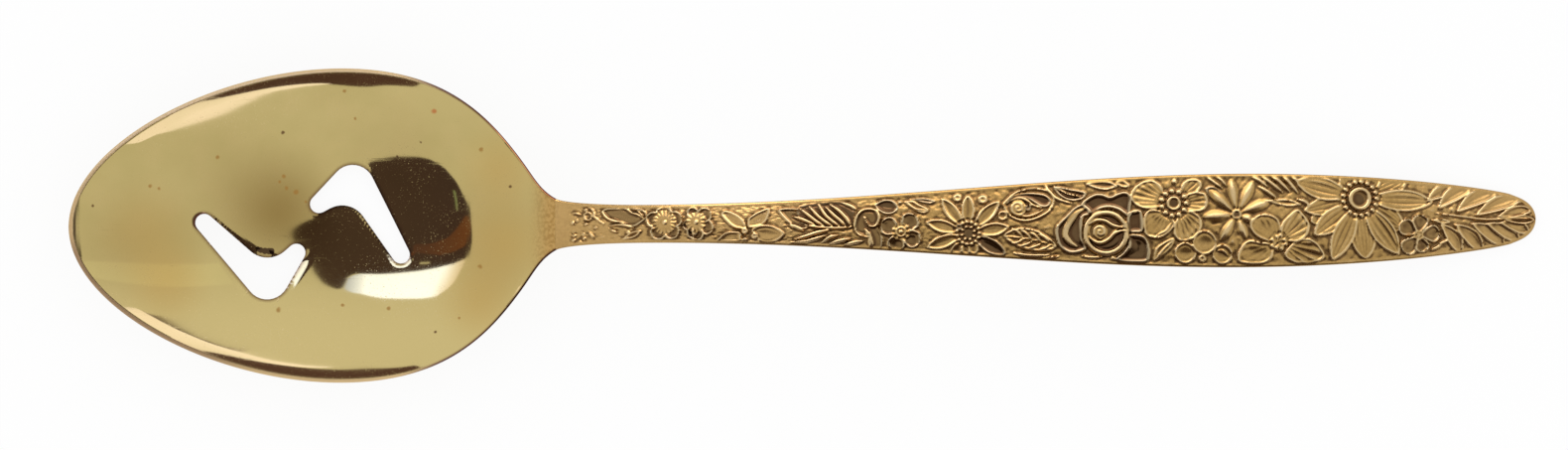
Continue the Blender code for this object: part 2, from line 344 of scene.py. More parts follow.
def slotOutline(along, across, turn):
    # four circles joined by tangents: the elbow, the short arm's tip, the inner bend and the long arm's tip
    spread = math.radians(bowlSizes["armSpread"])
    bend = bowlSizes["innerBend"]

    def polar(distance, angle):
        return Vector((math.cos(angle), math.sin(angle))) * distance

    circles = [
        (polar(0, 0), bowlSizes["elbowRadius"]),
        (polar(bowlSizes["shortArm"], -spread), bowlSizes["armTipRadius"]),
        (polar(bowlSizes["throat"] + bend, -spread / 2), -bend),
        (polar(bowlSizes["longArm"], 0), bowlSizes["armTipRadius"]),
    ]
    touches = []
    for (a, ra), (b, rb) in zip(circles, circles[1:] + circles[:1]):
        gap = b - a
        touches.append(math.atan2(gap.y, gap.x) - math.pi / 2 + math.asin((ra - rb) / gap.length))
    points = []
    for k, (centre, radius) in enumerate(circles):
        sweep = (touches[k] - touches[k - 1]) % (2 * math.pi) - (2 * math.pi if radius < 0 else 0)
        for angle in np.linspace(touches[k - 1], touches[k - 1] + sweep, bowlSizes["slotSteps"] + 1):
            points.append(centre + polar(radius, angle))
    c, s = math.cos(math.radians(turn)), math.sin(math.radians(turn))
    middle = np.array([place["widest"] + along, across])
    return np.array([(p.x * c - p.y * s, p.x * s + p.y * c) for p in points]) + middle


def makeSlotPunch(outline, top):
    keep = np.hypot(*(outline - np.roll(outline, 1, axis=0)).T) > bowlSizes["slotPointGap"]
    margin = bowlSizes["punchMargin"]
    punch = makePlate("slotPunch", [(x, y, -margin) for x, y in outline[keep]])
    rise = {"value": (0, 0, top + 2 * margin * mm)}
    editAll(
        (bpy.ops.mesh.extrude_region_move, {"TRANSFORM_OT_translate": rise}),
        (bpy.ops.mesh.normals_make_consistent, {"inside": False}),
    )
    return punch


def distanceToSlot(outline, x, y):
    return measureTo(np.vstack([outline, outline[:1]]), x, y)[0]


def markBowl(bowl, outlines):
    # where a dark red fringe is painted along the slots and the rim's side, and where the rim is worn
    spots = np.zeros(len(bowl.data.vertices) * 3, np.float32)
    bowl.data.vertices.foreach_get("co", spots)
    x, y, z = (spots.reshape(-1, 3) / mm).T
    near = np.minimum(*[distanceToSlot(outline, x, y) for outline in outlines])
    edge = np.column_stack([line["x"], line["half"]])[line["x"] <= place["root"]]
    outside = measureTo(edge[::bowlSizes["rimStep"]], x, np.abs(y))[0]
    band = np.interp(x, line["x"], line["band"])
    high = np.interp(x, line["x"], line["edge"]) - bowlSizes["rimHeight"]
    slotFringe = bowlSizes["slotFringe"] * np.clip(1 - near / bowlSizes["slotFringeReach"], 0, 1)
    sideFringe = smooth(*bowlSizes["sideFringeReach"], outside) * smooth(*bowlSizes["sideFringeFrom"], x)
    share = outside / np.maximum(band, bowlSizes["rimLeast"])
    rim = smooth(*bowlSizes["rimWidth"], band) * smooth(*bowlSizes["rimShare"], share) * (z > high)
    writeMarks(bowl, {"cutEdge": np.maximum(slotFringe, sideFringe), "rim": rim})


def makeBowl():
    x, y, z = ringSurface(bowlSizes, "tip", "root")
    outlines = [slotOutline(*spot[:3]) for spot in bowlSizes["slots"]]
    top = slice(0, bowlSizes["across"] + 1)
    topX, topY = x[:, top], y[:, top]
    for outline, (*_, depth, reach) in zip(outlines, bowlSizes["slots"]):
        near = distanceToSlot(outline, topX, topY)
        reach = reach * (1 - bowlSizes["reachFade"] * smooth(*bowlSizes["reachFadeFrom"], topX))
        pull = depth * np.clip(1 - near / reach, 0, 1) ** 2
        for along, across, radius in bowlSizes["unpulled"]:
            pull *= smooth(bowlSizes["unpulledCore"] * radius, radius, np.hypot(topX - along, topY - across))
        z[:, top] -= pull
    z[:, -1] = z[:, 0]
    bowl = wrapGrid("spoonBowl", x, y, z, {})
    for outline in outlines:
        punch = makeSlotPunch(outline, z.max() * mm)
        pickOnly(bowl)
        cut = bowl.modifiers.new("slot", "BOOLEAN")
        cut.operation = "DIFFERENCE"
        cut.solver = "EXACT"
        cut.object = punch
        bpy.ops.object.modifier_apply(modifier=cut.name)
        bpy.data.objects.remove(punch)
    markBowl(bowl, outlines)
    finishPiece(bowl, bowlSizes["sharpAngle"], makeBowlGold())
    return bowl


# Handle: an arched bar whose upper face carries a struck floral relief
handleSizes = {
    "along": 950,
    "across": 84,
    "under": 10,
    "edgeRadius": 0.32,
    "edgeShare": 0.45,
    "edgeSteps": 4,
    "sharpAngle": 75,
    "ground": -0.12,  # the relief's ground lies this far under the plain face
    "plainEdge": 0.4,  # the relief dies away over this width along the edge
    "plainStem": -34.6,  # and starts here along the spoon
    "plainStemFade": 1.6,
    "softness": 0.4,
    "pebbles": 0.16,  # roughness of the ground between the flowers
    "seed": 4,
    "hollowReach": 3,  # points round a place that tell if it is hollow, and the height that is fully so
    "hollowHeight": 0.26,
}

# How a petal or leaf is struck: body height, raised rim and its width, groove inside the rim, swell towards
# the middle, lines along it and their number, widest place, bluntness, polish with its painted dark
# reflection, and sideways bow
plainStrike = {
    "level": 0.12,
    "rim": 0.2,
    "rimWidth": 0.18,
    "groove": 0.06,
    "swell": 0.0,
    "lines": 0.0,
    "lineCount": 3,
    "widest": 0.55,
    "blunt": 0.8,
    "polish": 0.0,
    "bow": 0.0,
}
strikes = {
    "plain": {"level": 0.24, "rim": 0.14, "groove": 0.1, "swell": -0.26},
    "lined": {
        "level": 0.22, "rim": 0.13, "groove": 0.08, "swell": -0.2, "blunt": 0.72,
        "lines": 0.08, "lineCount": 4,
    },
    "striped": {"level": 0.17, "rim": 0.14, "swell": -0.1, "lines": 0.09, "lineCount": 7, "blunt": 0.6},
    "round": {"level": 0.22, "rim": 0.18, "groove": 0.14, "swell": -0.24, "widest": 0.62, "blunt": 0.5},
    "roof": {"level": 0.06, "rim": 0.04, "groove": 0.0, "swell": 0.3, "widest": 0.58},
    "ray": {"level": 0.1, "rim": 0.22, "swell": -0.16, "blunt": 0.75, "widest": 0.6},
    "leaf": {"rim": 0.18},
    "lobe": {"level": 0.24, "rim": 0.14, "groove": 0.1, "swell": -0.24, "blunt": 0.55, "widest": 0.6},
    "hollow": {
        "level": 0.1, "rim": 0.24, "rimWidth": 0.2, "groove": 0.1, "swell": -0.24, "blunt": 0.45,
        "polish": 1.0,
    },
}

# Section of all that is struck: distances from the outline, outward, and heights
section = {
    "wall": (0.07, -0.09),  # from the ground to the body
    "trench": 0.09,  # depth of the trench round it, where it lies and its width
    "trenchAt": 0.16,
    "trenchWidth": 0.14,
    "rimAt": 0.14,  # the top of the raised rim, and the groove behind it
    "grooveAt": 0.2,
    "grooveStep": 1.4,  # and this many rim widths further in
    "grooveWidth": 0.14,
    "inner": (0.2, 0.5),  # lines start inside this
    "reach": 0.6,  # how far past the outline the metal is touched
    "ridgeReach": 0.8,
    "domeFoot": 0.1,  # how far domes of beads and ridges carry on under their walls
    "ridgeFoot": 0.12,
    "ridgeEnd": 0.35,  # share of a ridge's width at its ends, and how fast it widens
    "ridgeTaper": 2.6,
    "petalStep": 0.02,  # share of a petal's length that its side's slant is taken over
    "petalSlant": 3.0,  # and the most that counts
    "petalLeast": 0.05,  # least half width that lines are drawn in
}


def bump(value, centre, width):
    return np.exp(-(((value - centre) / width) ** 2))


def dome(far, radius):
    return np.sqrt(np.maximum(1 - (far / radius) ** 2, 0))


goldenAngle = math.radians(137.5)


def spotAhead(at, distance, angle):
    return at[0] + distance * math.cos(angle), at[1] + distance * math.sin(angle)


class Relief:
    def __init__(self, x, y):
        self.x, self.y = x, y
        self.high = np.zeros_like(x)
        self.cover = np.zeros_like(x)
        self.polish = np.zeros_like(x)

    def window(self, low, high, reach):
        rows = slice(*np.searchsorted(self.x[:, 0], (low - reach, high + reach)))
        return rows, self.x[rows], self.y[rows]

    def around(self, at, radius):
        # the rows round a spot, with distance and direction from it
        rows, x, y = self.window(at[0], at[0], radius + section["reach"])
        return rows, np.hypot(x - at[0], y - at[1]), np.arctan2(y - at[1], x - at[0])

    def strike(self, rows, off, body, polish=0.0, trench=section["trench"]):
        # off is the distance outside the motif's edge, body its height
        inside = smooth(*section["wall"], off)
        ditch = trench * bump(off, section["trenchAt"], section["trenchWidth"]) * (1 - inside)
        self.high[rows] = (self.high[rows] - ditch) * (1 - inside) + body * inside
        self.cover[rows] = np.maximum(self.cover[rows], inside)
        self.polish[rows] = self.polish[rows] * (1 - inside) + polish * inside

    def walled(self, off, how, size):
        # height of a body with a raised rim, a groove inside it and a swell in the middle
        deep = np.maximum(-off, 0)
        groove = section["grooveAt"] + section["grooveStep"] * how["rimWidth"]
        body = how["level"] + how["rim"] * bump(deep, section["rimAt"], how["rimWidth"])
        body = body - how["groove"] * bump(deep, groove, section["grooveWidth"])
        return body + how["swell"] * smooth(0, size, deep), smooth(*section["inner"], deep)

    def petal(self, at, turn, length, width, kind="plain", **changes):
        # u runs from 0 to 1 along the petal, v is the distance from its middle line
        how = {**plainStrike, **strikes[kind], **changes}
        rows, x, y = self.window(at[0], at[0], length + width)
        c, s = math.cos(math.radians(turn)), math.sin(math.radians(turn))
        u = ((x - at[0]) * c + (y - at[1]) * s) / length
        v = (y - at[1]) * c - (x - at[0]) * s - how["bow"] * 4 * u * (1 - u)

        def half(u):
            t = np.clip(u, 0, 1) ** (math.log(0.5) / math.log(how["widest"]))
            return width / 2 * np.sin(np.pi * t) ** how["blunt"]

        step = section["petalStep"]
        slant = (half(u + step) - half(u - step)) / (2 * step * length)
        off = (np.abs(v) - half(u)) / np.sqrt(1 + np.minimum(slant**2, section["petalSlant"] ** 2))
        beyond = np.maximum(np.maximum(-u, u - 1), 0) * length
        off = np.where(beyond > 0, np.hypot(v, beyond), off)
        share = np.minimum(np.abs(v) / np.maximum(half(u), section["petalLeast"]), 1)
        body, inner = self.walled(off, how, width / 2)
        body = body + how["lines"] * np.cos(np.pi * how["lineCount"] * share) * inner
        self.strike(rows, off, body, how["polish"])

    def flower(self, at, petals, start, kind="plain", **changes):
        for turn, reach, width in petals:
            foot = spotAhead(at, start, math.radians(turn))
            self.petal(foot, turn, reach - start, width, kind, **changes)

    def drawn(self, points, kind="plain", fan=None, **changes):
        # a petal of any outline, its lines run out from the point fan
        how = {**plainStrike, **strikes[kind], **changes}
        curve = curveThrough(points, True)
        rows, x, y = self.window(curve[:, 0].min(), curve[:, 0].max(), section["reach"])
        off = measureTo(curve, x, y)[0] * np.where(isInside(curve, x, y), -1, 1)
        body, inner = self.walled(off, how, min(np.ptp(curve, axis=0)) / 2)
        if fan:
            theta = np.arctan2(y - fan[1], x - fan[0])
            body = body + how["lines"] * np.cos(how["lineCount"] * 2 * np.pi * theta) * inner
        self.strike(rows, off, body, how["polish"])

    def ridge(self, points, width, rise=0.26, base=0.12):
        # a rounded line that tapers to its ends
        curve = curveThrough(points, False)
        rows, x, y = self.window(curve[:, 0].min(), curve[:, 0].max(), section["ridgeReach"])
        far, share = measureTo(curve, x, y)
        taper = section["ridgeEnd"] + section["ridgeTaper"] * np.minimum(share, 1 - share)
        half = width / 2 * np.minimum(1, taper)
        self.strike(rows, far - half, base + rise * dome(far, half + section["ridgeFoot"]))

    def bead(self, at, radius, rise=0.3, base=0.08, pit=0.0, polish=0.0):
        rows, far, _ = self.around(at, radius)
        body = base + rise * dome(far, radius + section["domeFoot"])
        body = body - pit * smooth(0.6 * radius, 0.2 * radius, far)
        self.strike(rows, far - radius, body, polish)

    def ring(self, at, radius, width, rise=0.34, base=0.1):
        rows, far, _ = self.around(at, radius + width)
        across = np.abs(far - radius)
        body = base + (rise - base) * dome(across, width / 2 + section["domeFoot"])
        self.strike(rows, across - width / 2, body)

    def beadRing(self, at, radius, count, size, rise=0.3, start=0.0):
        for k in range(count):
            self.bead(spotAhead(at, radius, 2 * math.pi * k / count + start), size, rise)

    def seedHead(self, at, radius, count, size, base, swell=0.1, rise=0.22, lift=0.02):
        # a domed boss covered with grains in a sunflower's order
        self.bead(at, radius, swell, base)
        for k in range(count):
            far = radius * 0.9 * math.sqrt((k + 0.5) / count)
            self.bead(spotAhead(at, far, k * goldenAngle), size, rise, base + lift)

    def swirl(self, at, radius, turns, rise=0.2, base=0.18, swell=0.1):
        rows, far, theta = self.around(at, radius)
        phase = far / radius * turns - theta / (2 * np.pi)
        body = base + rise * (0.5 + 0.5 * np.cos(2 * np.pi * phase)) + swell * smooth(radius, 0, far)
        self.strike(rows, far - radius, body)

    def cup(self, at, radius, creases, level=0.24, fall=0.12, crease=0.12, trench=0.02):
        # the creased middle of an open flower
        rows, far, theta = self.around(at, radius)
        body = level - fall * smooth(0.2 * radius, radius, far)
        body = body + crease * np.cos(creases * theta) * smooth(0.3 * radius, 0.9 * radius, far)
        self.strike(rows, far - radius, body, trench=trench)
        self.bead(at, 0.32, 0.22, 0.2)


def strikeNeck(die):
    # curled buds where the plain stem ends
    for x, y in ((-33.4, 0.2), (-33.2, -1.65), (-31.5, 2.05), (-31.8, -2.05), (-31.5, 0.0), (-33.3, -2.3)):
        die.bead((x, y), 0.26, 0.3)
    for x, y in ((-32.8, 0.5), (-30.1, -0.5), (-33.3, -1.1), (-31.9, -1.45), (-32.4, -2.5)):
        die.bead((x, y), 0.2, 0.1, 0.06, 0.2)
    die.ring((-31.2, 1.15), 0.55, 0.26)
    die.ridge(((-31.1, 2.35), (-30.6, 2.15), (-30.35, 1.6), (-30.3, 1.1), (-29.7, 0.6), (-28.9, 0.0)), 0.3)
    die.ridge(((-33.4, 1.55), (-32.9, 1.6), (-32.3, 1.35)), 0.26)
    die.ridge(((-31.1, -1.1), (-30.4, -1.95)), 0.3)

    # leaves on the neck
    die.drawn((
        (-29.2, 1.8), (-28.6, 2.3), (-27.4, 2.4), (-24.7, 2.4), (-22.9, 1.9), (-22.7, 1.0), (-23.4, 0.2),
        (-24.5, -0.4), (-25.8, -0.2), (-27.4, 0.45), (-28.5, 0.8),
    ), "hollow", rim=0.22, polish=0.6)
    die.ridge(((-29.2, 1.8), (-28.6, 1.0), (-27.7, 0.5), (-26.8, 0.3)), 0.34, 0.3)
    die.ridge(((-26.5, 2.5), (-25.5, 2.1), (-24.8, 1.6), (-24.1, 1.4), (-23.1, 0.8)), 0.26)
    die.ridge(((-24.0, 1.9), (-23.2, 1.1)), 0.24)
    die.ridge(((-28.0, -0.25), (-26.9, -0.1), (-25.7, -0.25), (-24.6, -0.55)), 0.3)
    die.ridge(((-27.9, -0.75), (-27.5, -1.0), (-27.0, -1.15)), 0.3)
    die.petal((-26.4, -2.3), 24, 3.2, 0.9, "ray")
    die.bead((-25.4, -1.2), 0.24, 0.16)

    # two open round flowers
    second = (-15.6, 0.2)
    wideRim = {"rim": 0.3, "rimWidth": 0.26}
    petals = ((-25, 2.8, 2.3), (40, 2.8, 2.3), (-85, 2.7, 2.2))
    die.flower(second, petals, 0.1, "round", polish=0.4, **wideRim)
    die.flower(second, ((108, 2.3, 1.9), (200, 2.0, 1.7), (250, 2.4, 1.6)), 0.1, "hollow")
    die.cup(second, 1.5, 13)
    die.ridge(((-16.1, -0.7), (-15.9, -1.8)), 0.4, 0.3)
    first = (-20.15, 0.2)
    petals = ((18, 2.75, 2.4), (92, 2.4, 2.4), (165, 2.75, 2.4), (238, 2.8, 2.4), (310, 2.8, 2.5))
    die.flower(first, petals, 0.1, "round", polish=0.5, **wideRim)
    die.cup(first, 1.75, 17)

    # four-petalled flower with three berries, and the dark leaf beside it
    die.drawn((
        (-3.7, 1.9), (-2.8, 2.2), (-0.6, 2.1), (0.4, 1.6), (0.8, 0.6), (0.8, -0.6), (-0.4, -0.9),
        (-1.8, -0.3), (-2.6, 0.4), (-3.4, 1.3),
    ), "hollow", rim=0.26, polish=0.6)
    for petal in (
        ((-11.9, 1.2), (-11.6, 1.8), (-10.7, 1.8), (-9.4, 1.15), (-8.6, 0.3), (-8.2, -0.7), (-9.0, -0.85),
         (-10.25, -0.5), (-11.2, 0.3)),
        ((-8.05, 0.6), (-7.2, 1.35), (-6.1, 1.9), (-5.0, 2.25), (-4.9, 1.5), (-5.4, 0.25), (-6.1, -0.3),
         (-7.5, -0.7), (-8.05, -0.5)),
        ((-12.7, -2.65), (-12.2, -2.0), (-11.35, -1.3), (-10.25, -1.1), (-9.15, -1.3), (-9.0, -2.0),
         (-9.3, -2.7), (-11.1, -2.8)),
        ((-7.5, -1.0), (-6.8, -0.45), (-5.6, -0.2), (-4.2, -0.45), (-2.8, -1.4), (-3.4, -2.3),
         (-4.75, -2.95), (-6.1, -2.85), (-6.8, -2.2)),
    ):
        die.drawn(petal)
    for x, y in ((-8.5, -1.1), (-7.1, -1.8), (-8.5, -2.5)):
        die.bead((x, y), 0.48, 0.36, 0.12, 0.2)


def strikeFern(die):
    # feathered leaf with dark gaps, and the bright blades under it
    die.drawn((
        (-0.6, 2.4), (2.0, 2.9), (5.5, 3.1), (7.4, 2.2), (7.2, 0.6), (6.8, -0.8), (3.6, -0.9), (0.6, -0.6),
        (-0.8, 0.8),
    ), "hollow", rim=0.02)
    for blade in (
        ((6.9, -0.5), (6.2, 0.6), (5.2, 1.7), (3.9, 2.6)),
        ((6.1, -0.5), (5.4, 0.25), (4.3, 1.2), (3.3, 2.2)),
        ((5.2, -0.5), (4.1, 0.3), (3.1, 1.2), (2.2, 2.6)),
        ((4.2, -0.5), (3.1, 0.2), (2.0, 1.1), (0.9, 2.3)),
        ((3.0, -0.5), (1.9, 0.2), (0.9, 1.0), (-0.4, 2.0)),
        ((1.8, -0.4), (0.8, 0.1), (-0.3, 0.6), (-1.4, 0.9)),
        ((7.6, 1.9), (6.9, 2.4), (5.6, 2.9)),
    ):
        die.ridge(blade, 0.5, 0.3, 0.06)
    die.ridge(((0.2, -0.3), (1.8, -0.55), (3.6, -0.7), (5.2, -0.7), (6.9, -0.6)), 0.36)
    for blade in (
        ((-2.0, -0.3), (-1.0, -0.6), (-0.1, -1.1)),
        ((3.6, -1.0), (1.9, -1.4), (0.1, -2.0), (-1.2, -2.3)),
        ((4.8, -1.8), (3.7, -2.1), (2.6, -2.8)),
        ((3.1, -1.8), (1.5, -2.35), (-0.1, -2.75), (-1.9, -2.85)),
        ((6.6, -2.3), (5.2, -2.6), (3.7, -3.0)),
        ((8.5, -2.6), (7.1, -2.9), (5.8, -3.25)),
    ):
        die.ridge(blade, 0.62, 0.34)

    # curled bud, polished seed, small leaves and a four-petalled blossom
    die.drawn((
        (9.1, -2.1), (7.85, -1.65), (7.3, -0.55), (7.6, 0.8), (8.4, 1.8), (9.6, 2.05), (10.6, 1.65),
        (10.95, 0.7), (10.7, -0.6), (11.4, -2.0), (11.2, -3.8), (9.6, -3.7),
    ), "hollow", rim=0.1, polish=0.7)
    die.ridge(((9.0, -1.0), (9.4, -1.8), (9.7, -2.9), (9.8, -3.9)), 0.7, 0.2)
    die.ridge((
        (9.2, -2.1), (7.9, -1.65), (7.35, -0.55), (7.6, 0.8), (8.4, 1.75), (9.6, 2.0), (10.6, 1.6),
        (10.9, 0.7), (10.4, -0.4), (9.65, -0.5), (9.1, 0.1), (8.8, 0.8),
    ), 0.4, 0.34)
    die.petal((10.3, 2.45), -6, 3.4, 2.2, "hollow", blunt=0.5, level=0.06, rim=0.2)
    die.bead((13.9, 2.9), 0.24, 0.26)
    die.drawn(((15.3, 3.3), (17.3, 3.5), (19.0, 3.1), (18.4, 2.7), (17.2, 2.85)), "hollow", rim=0.2)
    leaf = ((14.6, 3.0), (15.4, 2.2), (16.4, 1.5), (17.6, 1.3), (18.0, 1.9), (16.9, 2.5), (15.8, 3.1))
    die.drawn(leaf, "lined")
    die.ridge(((15.0, 2.75), (16.2, 2.0), (17.6, 1.7)), 0.24)
    blossom = (14.05, -1.35)
    petals = ((155, 3.2, 2.8), (48, 3.2, 2.8), (-32, 3.2, 2.7), (-112, 3.0, 2.7))
    deepRound = {"level": 0.16, "rim": 0.26, "polish": 0.75, "widest": 0.62, "blunt": 0.5}
    die.flower(blossom, petals, 0.15, "hollow", **deepRound)
    die.cup(blossom, 1.3, 9)
    die.ring(blossom, 0.62, 0.26)
    die.bead(blossom, 0.3, 0.34, 0.1)


def strikeRose(die):
    # daisy with a seeded boss
    daisy = (23.75, -1.6)
    petals = (
        (90, 5.5, 2.0), (127, 6.3, 1.9), (165, 6.3, 1.9), (199, 6.3, 1.9), (45, 6.45, 2.0), (8, 6.0, 2.0),
    )
    die.flower(daisy, ((235, 4.2, 1.6), (262, 3.3, 1.6), (-72, 3.3, 1.7)), 1.0, "ray")
    die.flower(daisy, petals, 0.8, blunt=0.7)
    die.flower(daisy, ((-30, 6.3, 2.2),), 0.8, "hollow", blunt=0.65)
    die.bead(daisy, 1.9, 0.05, 0.0, 0.0, 0.9)
    die.beadRing(daisy, 1.6, 15, 0.27, 0.3)
    die.beadRing(daisy, 0.95, 8, 0.2, 0.3, 0.3)
    die.bead((23.9, -1.8), 0.55, 0.0, -0.04, 0.0, 1.0)
    die.bead((22.45, -0.7), 0.5, 0.1, 0.1, 0.2, 1.0)
    die.bead((22.25, 3.5), 0.62, 0.3, 0.06, 0.24)
    die.bead((25.9, 3.25), 0.68, 0.3, 0.06, 0.24)

    # ribbed leaf under the rosebud
    die.drawn((
        (28.9, -1.9), (30.4, -1.0), (32.2, -0.9), (34.4, -1.6), (36.6, -3.5), (34.8, -4.3), (32.2, -4.0),
        (30.0, -3.1),
    ))
    die.ridge(((29.2, -2.1), (31.4, -2.3), (34.0, -2.8), (36.4, -3.6)), 0.3, 0.2)
    for k in range(4):
        x, y = 31.0 + 1.3 * k, -2.25 - 0.3 * k
        die.ridge(((x - 0.9, y + 1.3), (x - 0.2, y + 0.9), (x + 0.6, y + 0.1)), 0.36)
        die.ridge(((x - 1.0, y - 0.9), (x - 0.1, y - 0.7), (x + 0.8, y - 0.2)), 0.32)
    for blade in (((30.4, -4.5), (32.6, -4.9), (35.4, -4.8)), ((32.6, -5.5), (35.0, -5.4), (36.8, -5.0))):
        die.ridge(blade, 0.5, 0.32)

    # rosebud in its hood
    die.drawn((
        (28.8, 2.2), (29.4, 3.4), (31.0, 4.5), (33.4, 4.9), (35.4, 4.5), (36.3, 3.4), (35.9, 1.9),
        (34.6, 0.7), (32.4, 0.1), (30.2, 0.5),
    ), "plain", rim=0.3, level=0.12)
    die.drawn((
        (29.3, 2.5), (29.9, 3.5), (31.4, 4.1), (33.0, 4.2), (34.9, 3.9), (35.8, 3.1), (35.4, 2.2),
        (34.4, 2.1), (33.3, 2.7), (32.3, 3.3), (31.0, 3.4), (30.0, 2.9),
    ), "hollow", rim=0.2)
    die.ridge(((29.9, 3.0), (31.0, 3.4), (32.2, 3.1), (33.2, 2.4), (34.4, 2.0)), 0.34)
    die.ridge(((29.7, 0.9), (31.4, 0.2), (33.0, 0.3), (34.6, 1.0), (35.6, 1.6)), 0.34)
    die.ridge(((30.2, 1.3), (31.8, 0.8), (33.2, 1.0), (34.4, 1.6)), 0.3)
    die.swirl((31.0, 2.0), 1.2, 2.0)
    die.drawn(((32.0, 2.3), (33.0, 2.4), (32.4, 1.4)), "hollow", rim=0.2)
    die.ring((28.75, 0.9), 0.56, 0.3)

    # leaves over the rose
    die.drawn(((36.2, 5.1), (38.6, 4.7), (40.8, 4.2), (40.3, 3.2), (38.4, 3.0), (36.9, 3.8)), "hollow")
    die.ridge(((34.8, 5.4), (35.6, 4.3), (36.7, 3.3), (38.7, 2.6)), 0.44)
    die.ridge(((36.6, 4.8), (38.2, 4.0), (40.0, 3.6)), 0.26)
    leaf = ((40.8, 5.4), (42.2, 5.8), (44.0, 5.8), (45.5, 5.1), (43.8, 4.5), (42.0, 4.8))
    die.drawn(leaf, "lined", polish=0.6)
    die.drawn(((45.2, 5.7), (46.2, 5.9), (47.2, 5.2), (46.6, 4.8), (45.6, 5.1)), "ray")

    # the rose: open petals with dark hollows, a round cup and a bud between two curved ridges
    broadRim = {"rim": 0.28, "rimWidth": 0.32}
    die.drawn((
        (36.5, -0.7), (38.1, 1.0), (39.0, 1.9), (40.2, 2.5), (41.2, 2.0), (41.3, 0.9), (40.4, 0.5),
        (40.3, -1.6), (40.4, -2.6), (40.9, -3.8), (40.2, -4.4), (38.4, -4.6), (36.9, -3.6), (36.4, -2.0),
    ), "hollow", **broadRim)
    fold = ((40.7, 1.9), (39.3, 1.0), (38.1, -0.7), (37.8, -1.95), (38.5, -3.0), (39.4, -3.6))
    die.ridge(fold, 0.95, 0.22, 0.08)
    for petal in (
        ((40.1, 2.5), (41.0, 3.4), (42.2, 4.0), (43.3, 3.95), (44.3, 3.6), (45.3, 4.0), (46.4, 4.3),
         (47.3, 3.8), (47.4, 2.4), (46.9, 0.7), (45.6, 1.5), (44.3, 1.9), (43.0, 1.7), (41.7, 1.0),
         (41.0, 1.6)),
        ((46.7, 0.5), (47.6, 1.6), (48.8, 1.5), (49.1, 0.4), (49.0, -1.5), (48.0, -1.7), (47.0, -1.5)),
        ((47.0, -2.0), (48.3, -1.9), (49.4, -2.3), (50.0, -3.4), (50.1, -5.0), (49.4, -6.0), (46.2, -6.0),
         (45.0, -5.5), (46.1, -4.6), (46.9, -3.4)),
    ):
        die.drawn(petal, "hollow", **broadRim)
    die.bead((47.9, 1.35), 0.3, 0.26)
    cup = (43.7, -1.7)
    die.bead(cup, 3.3, 0.0, -0.04, 0.0, 1.0)
    die.ring(cup, 2.95, 0.78, 0.42, 0.14)
    die.drawn((
        (41.2, -0.7), (42.4, 0.1), (43.6, 0.0), (44.6, -0.6), (45.4, -1.0), (44.9, -1.7), (44.1, -2.5),
        (43.0, -3.0), (42.0, -2.8), (41.2, -2.0),
    ), level=0.14)
    for curl in (
        ((41.3, -0.4), (42.4, 0.2), (43.6, 0.1), (44.6, -0.5), (45.6, -0.8), (46.6, -0.9)),
        ((41.2, -2.2), (42.0, -2.9), (43.0, -3.1), (44.1, -2.6), (44.9, -1.8), (45.8, -1.4), (46.6, -1.4)),
    ):
        die.ridge(curl, 0.5, 0.3)
    die.swirl((42.85, -1.5), 1.1, 1.8)
    die.bead((44.7, -5.35), 0.34, 0.28)
    die.ridge(((40.2, -5.0), (41.6, -5.2), (43.2, -5.1)), 0.4)


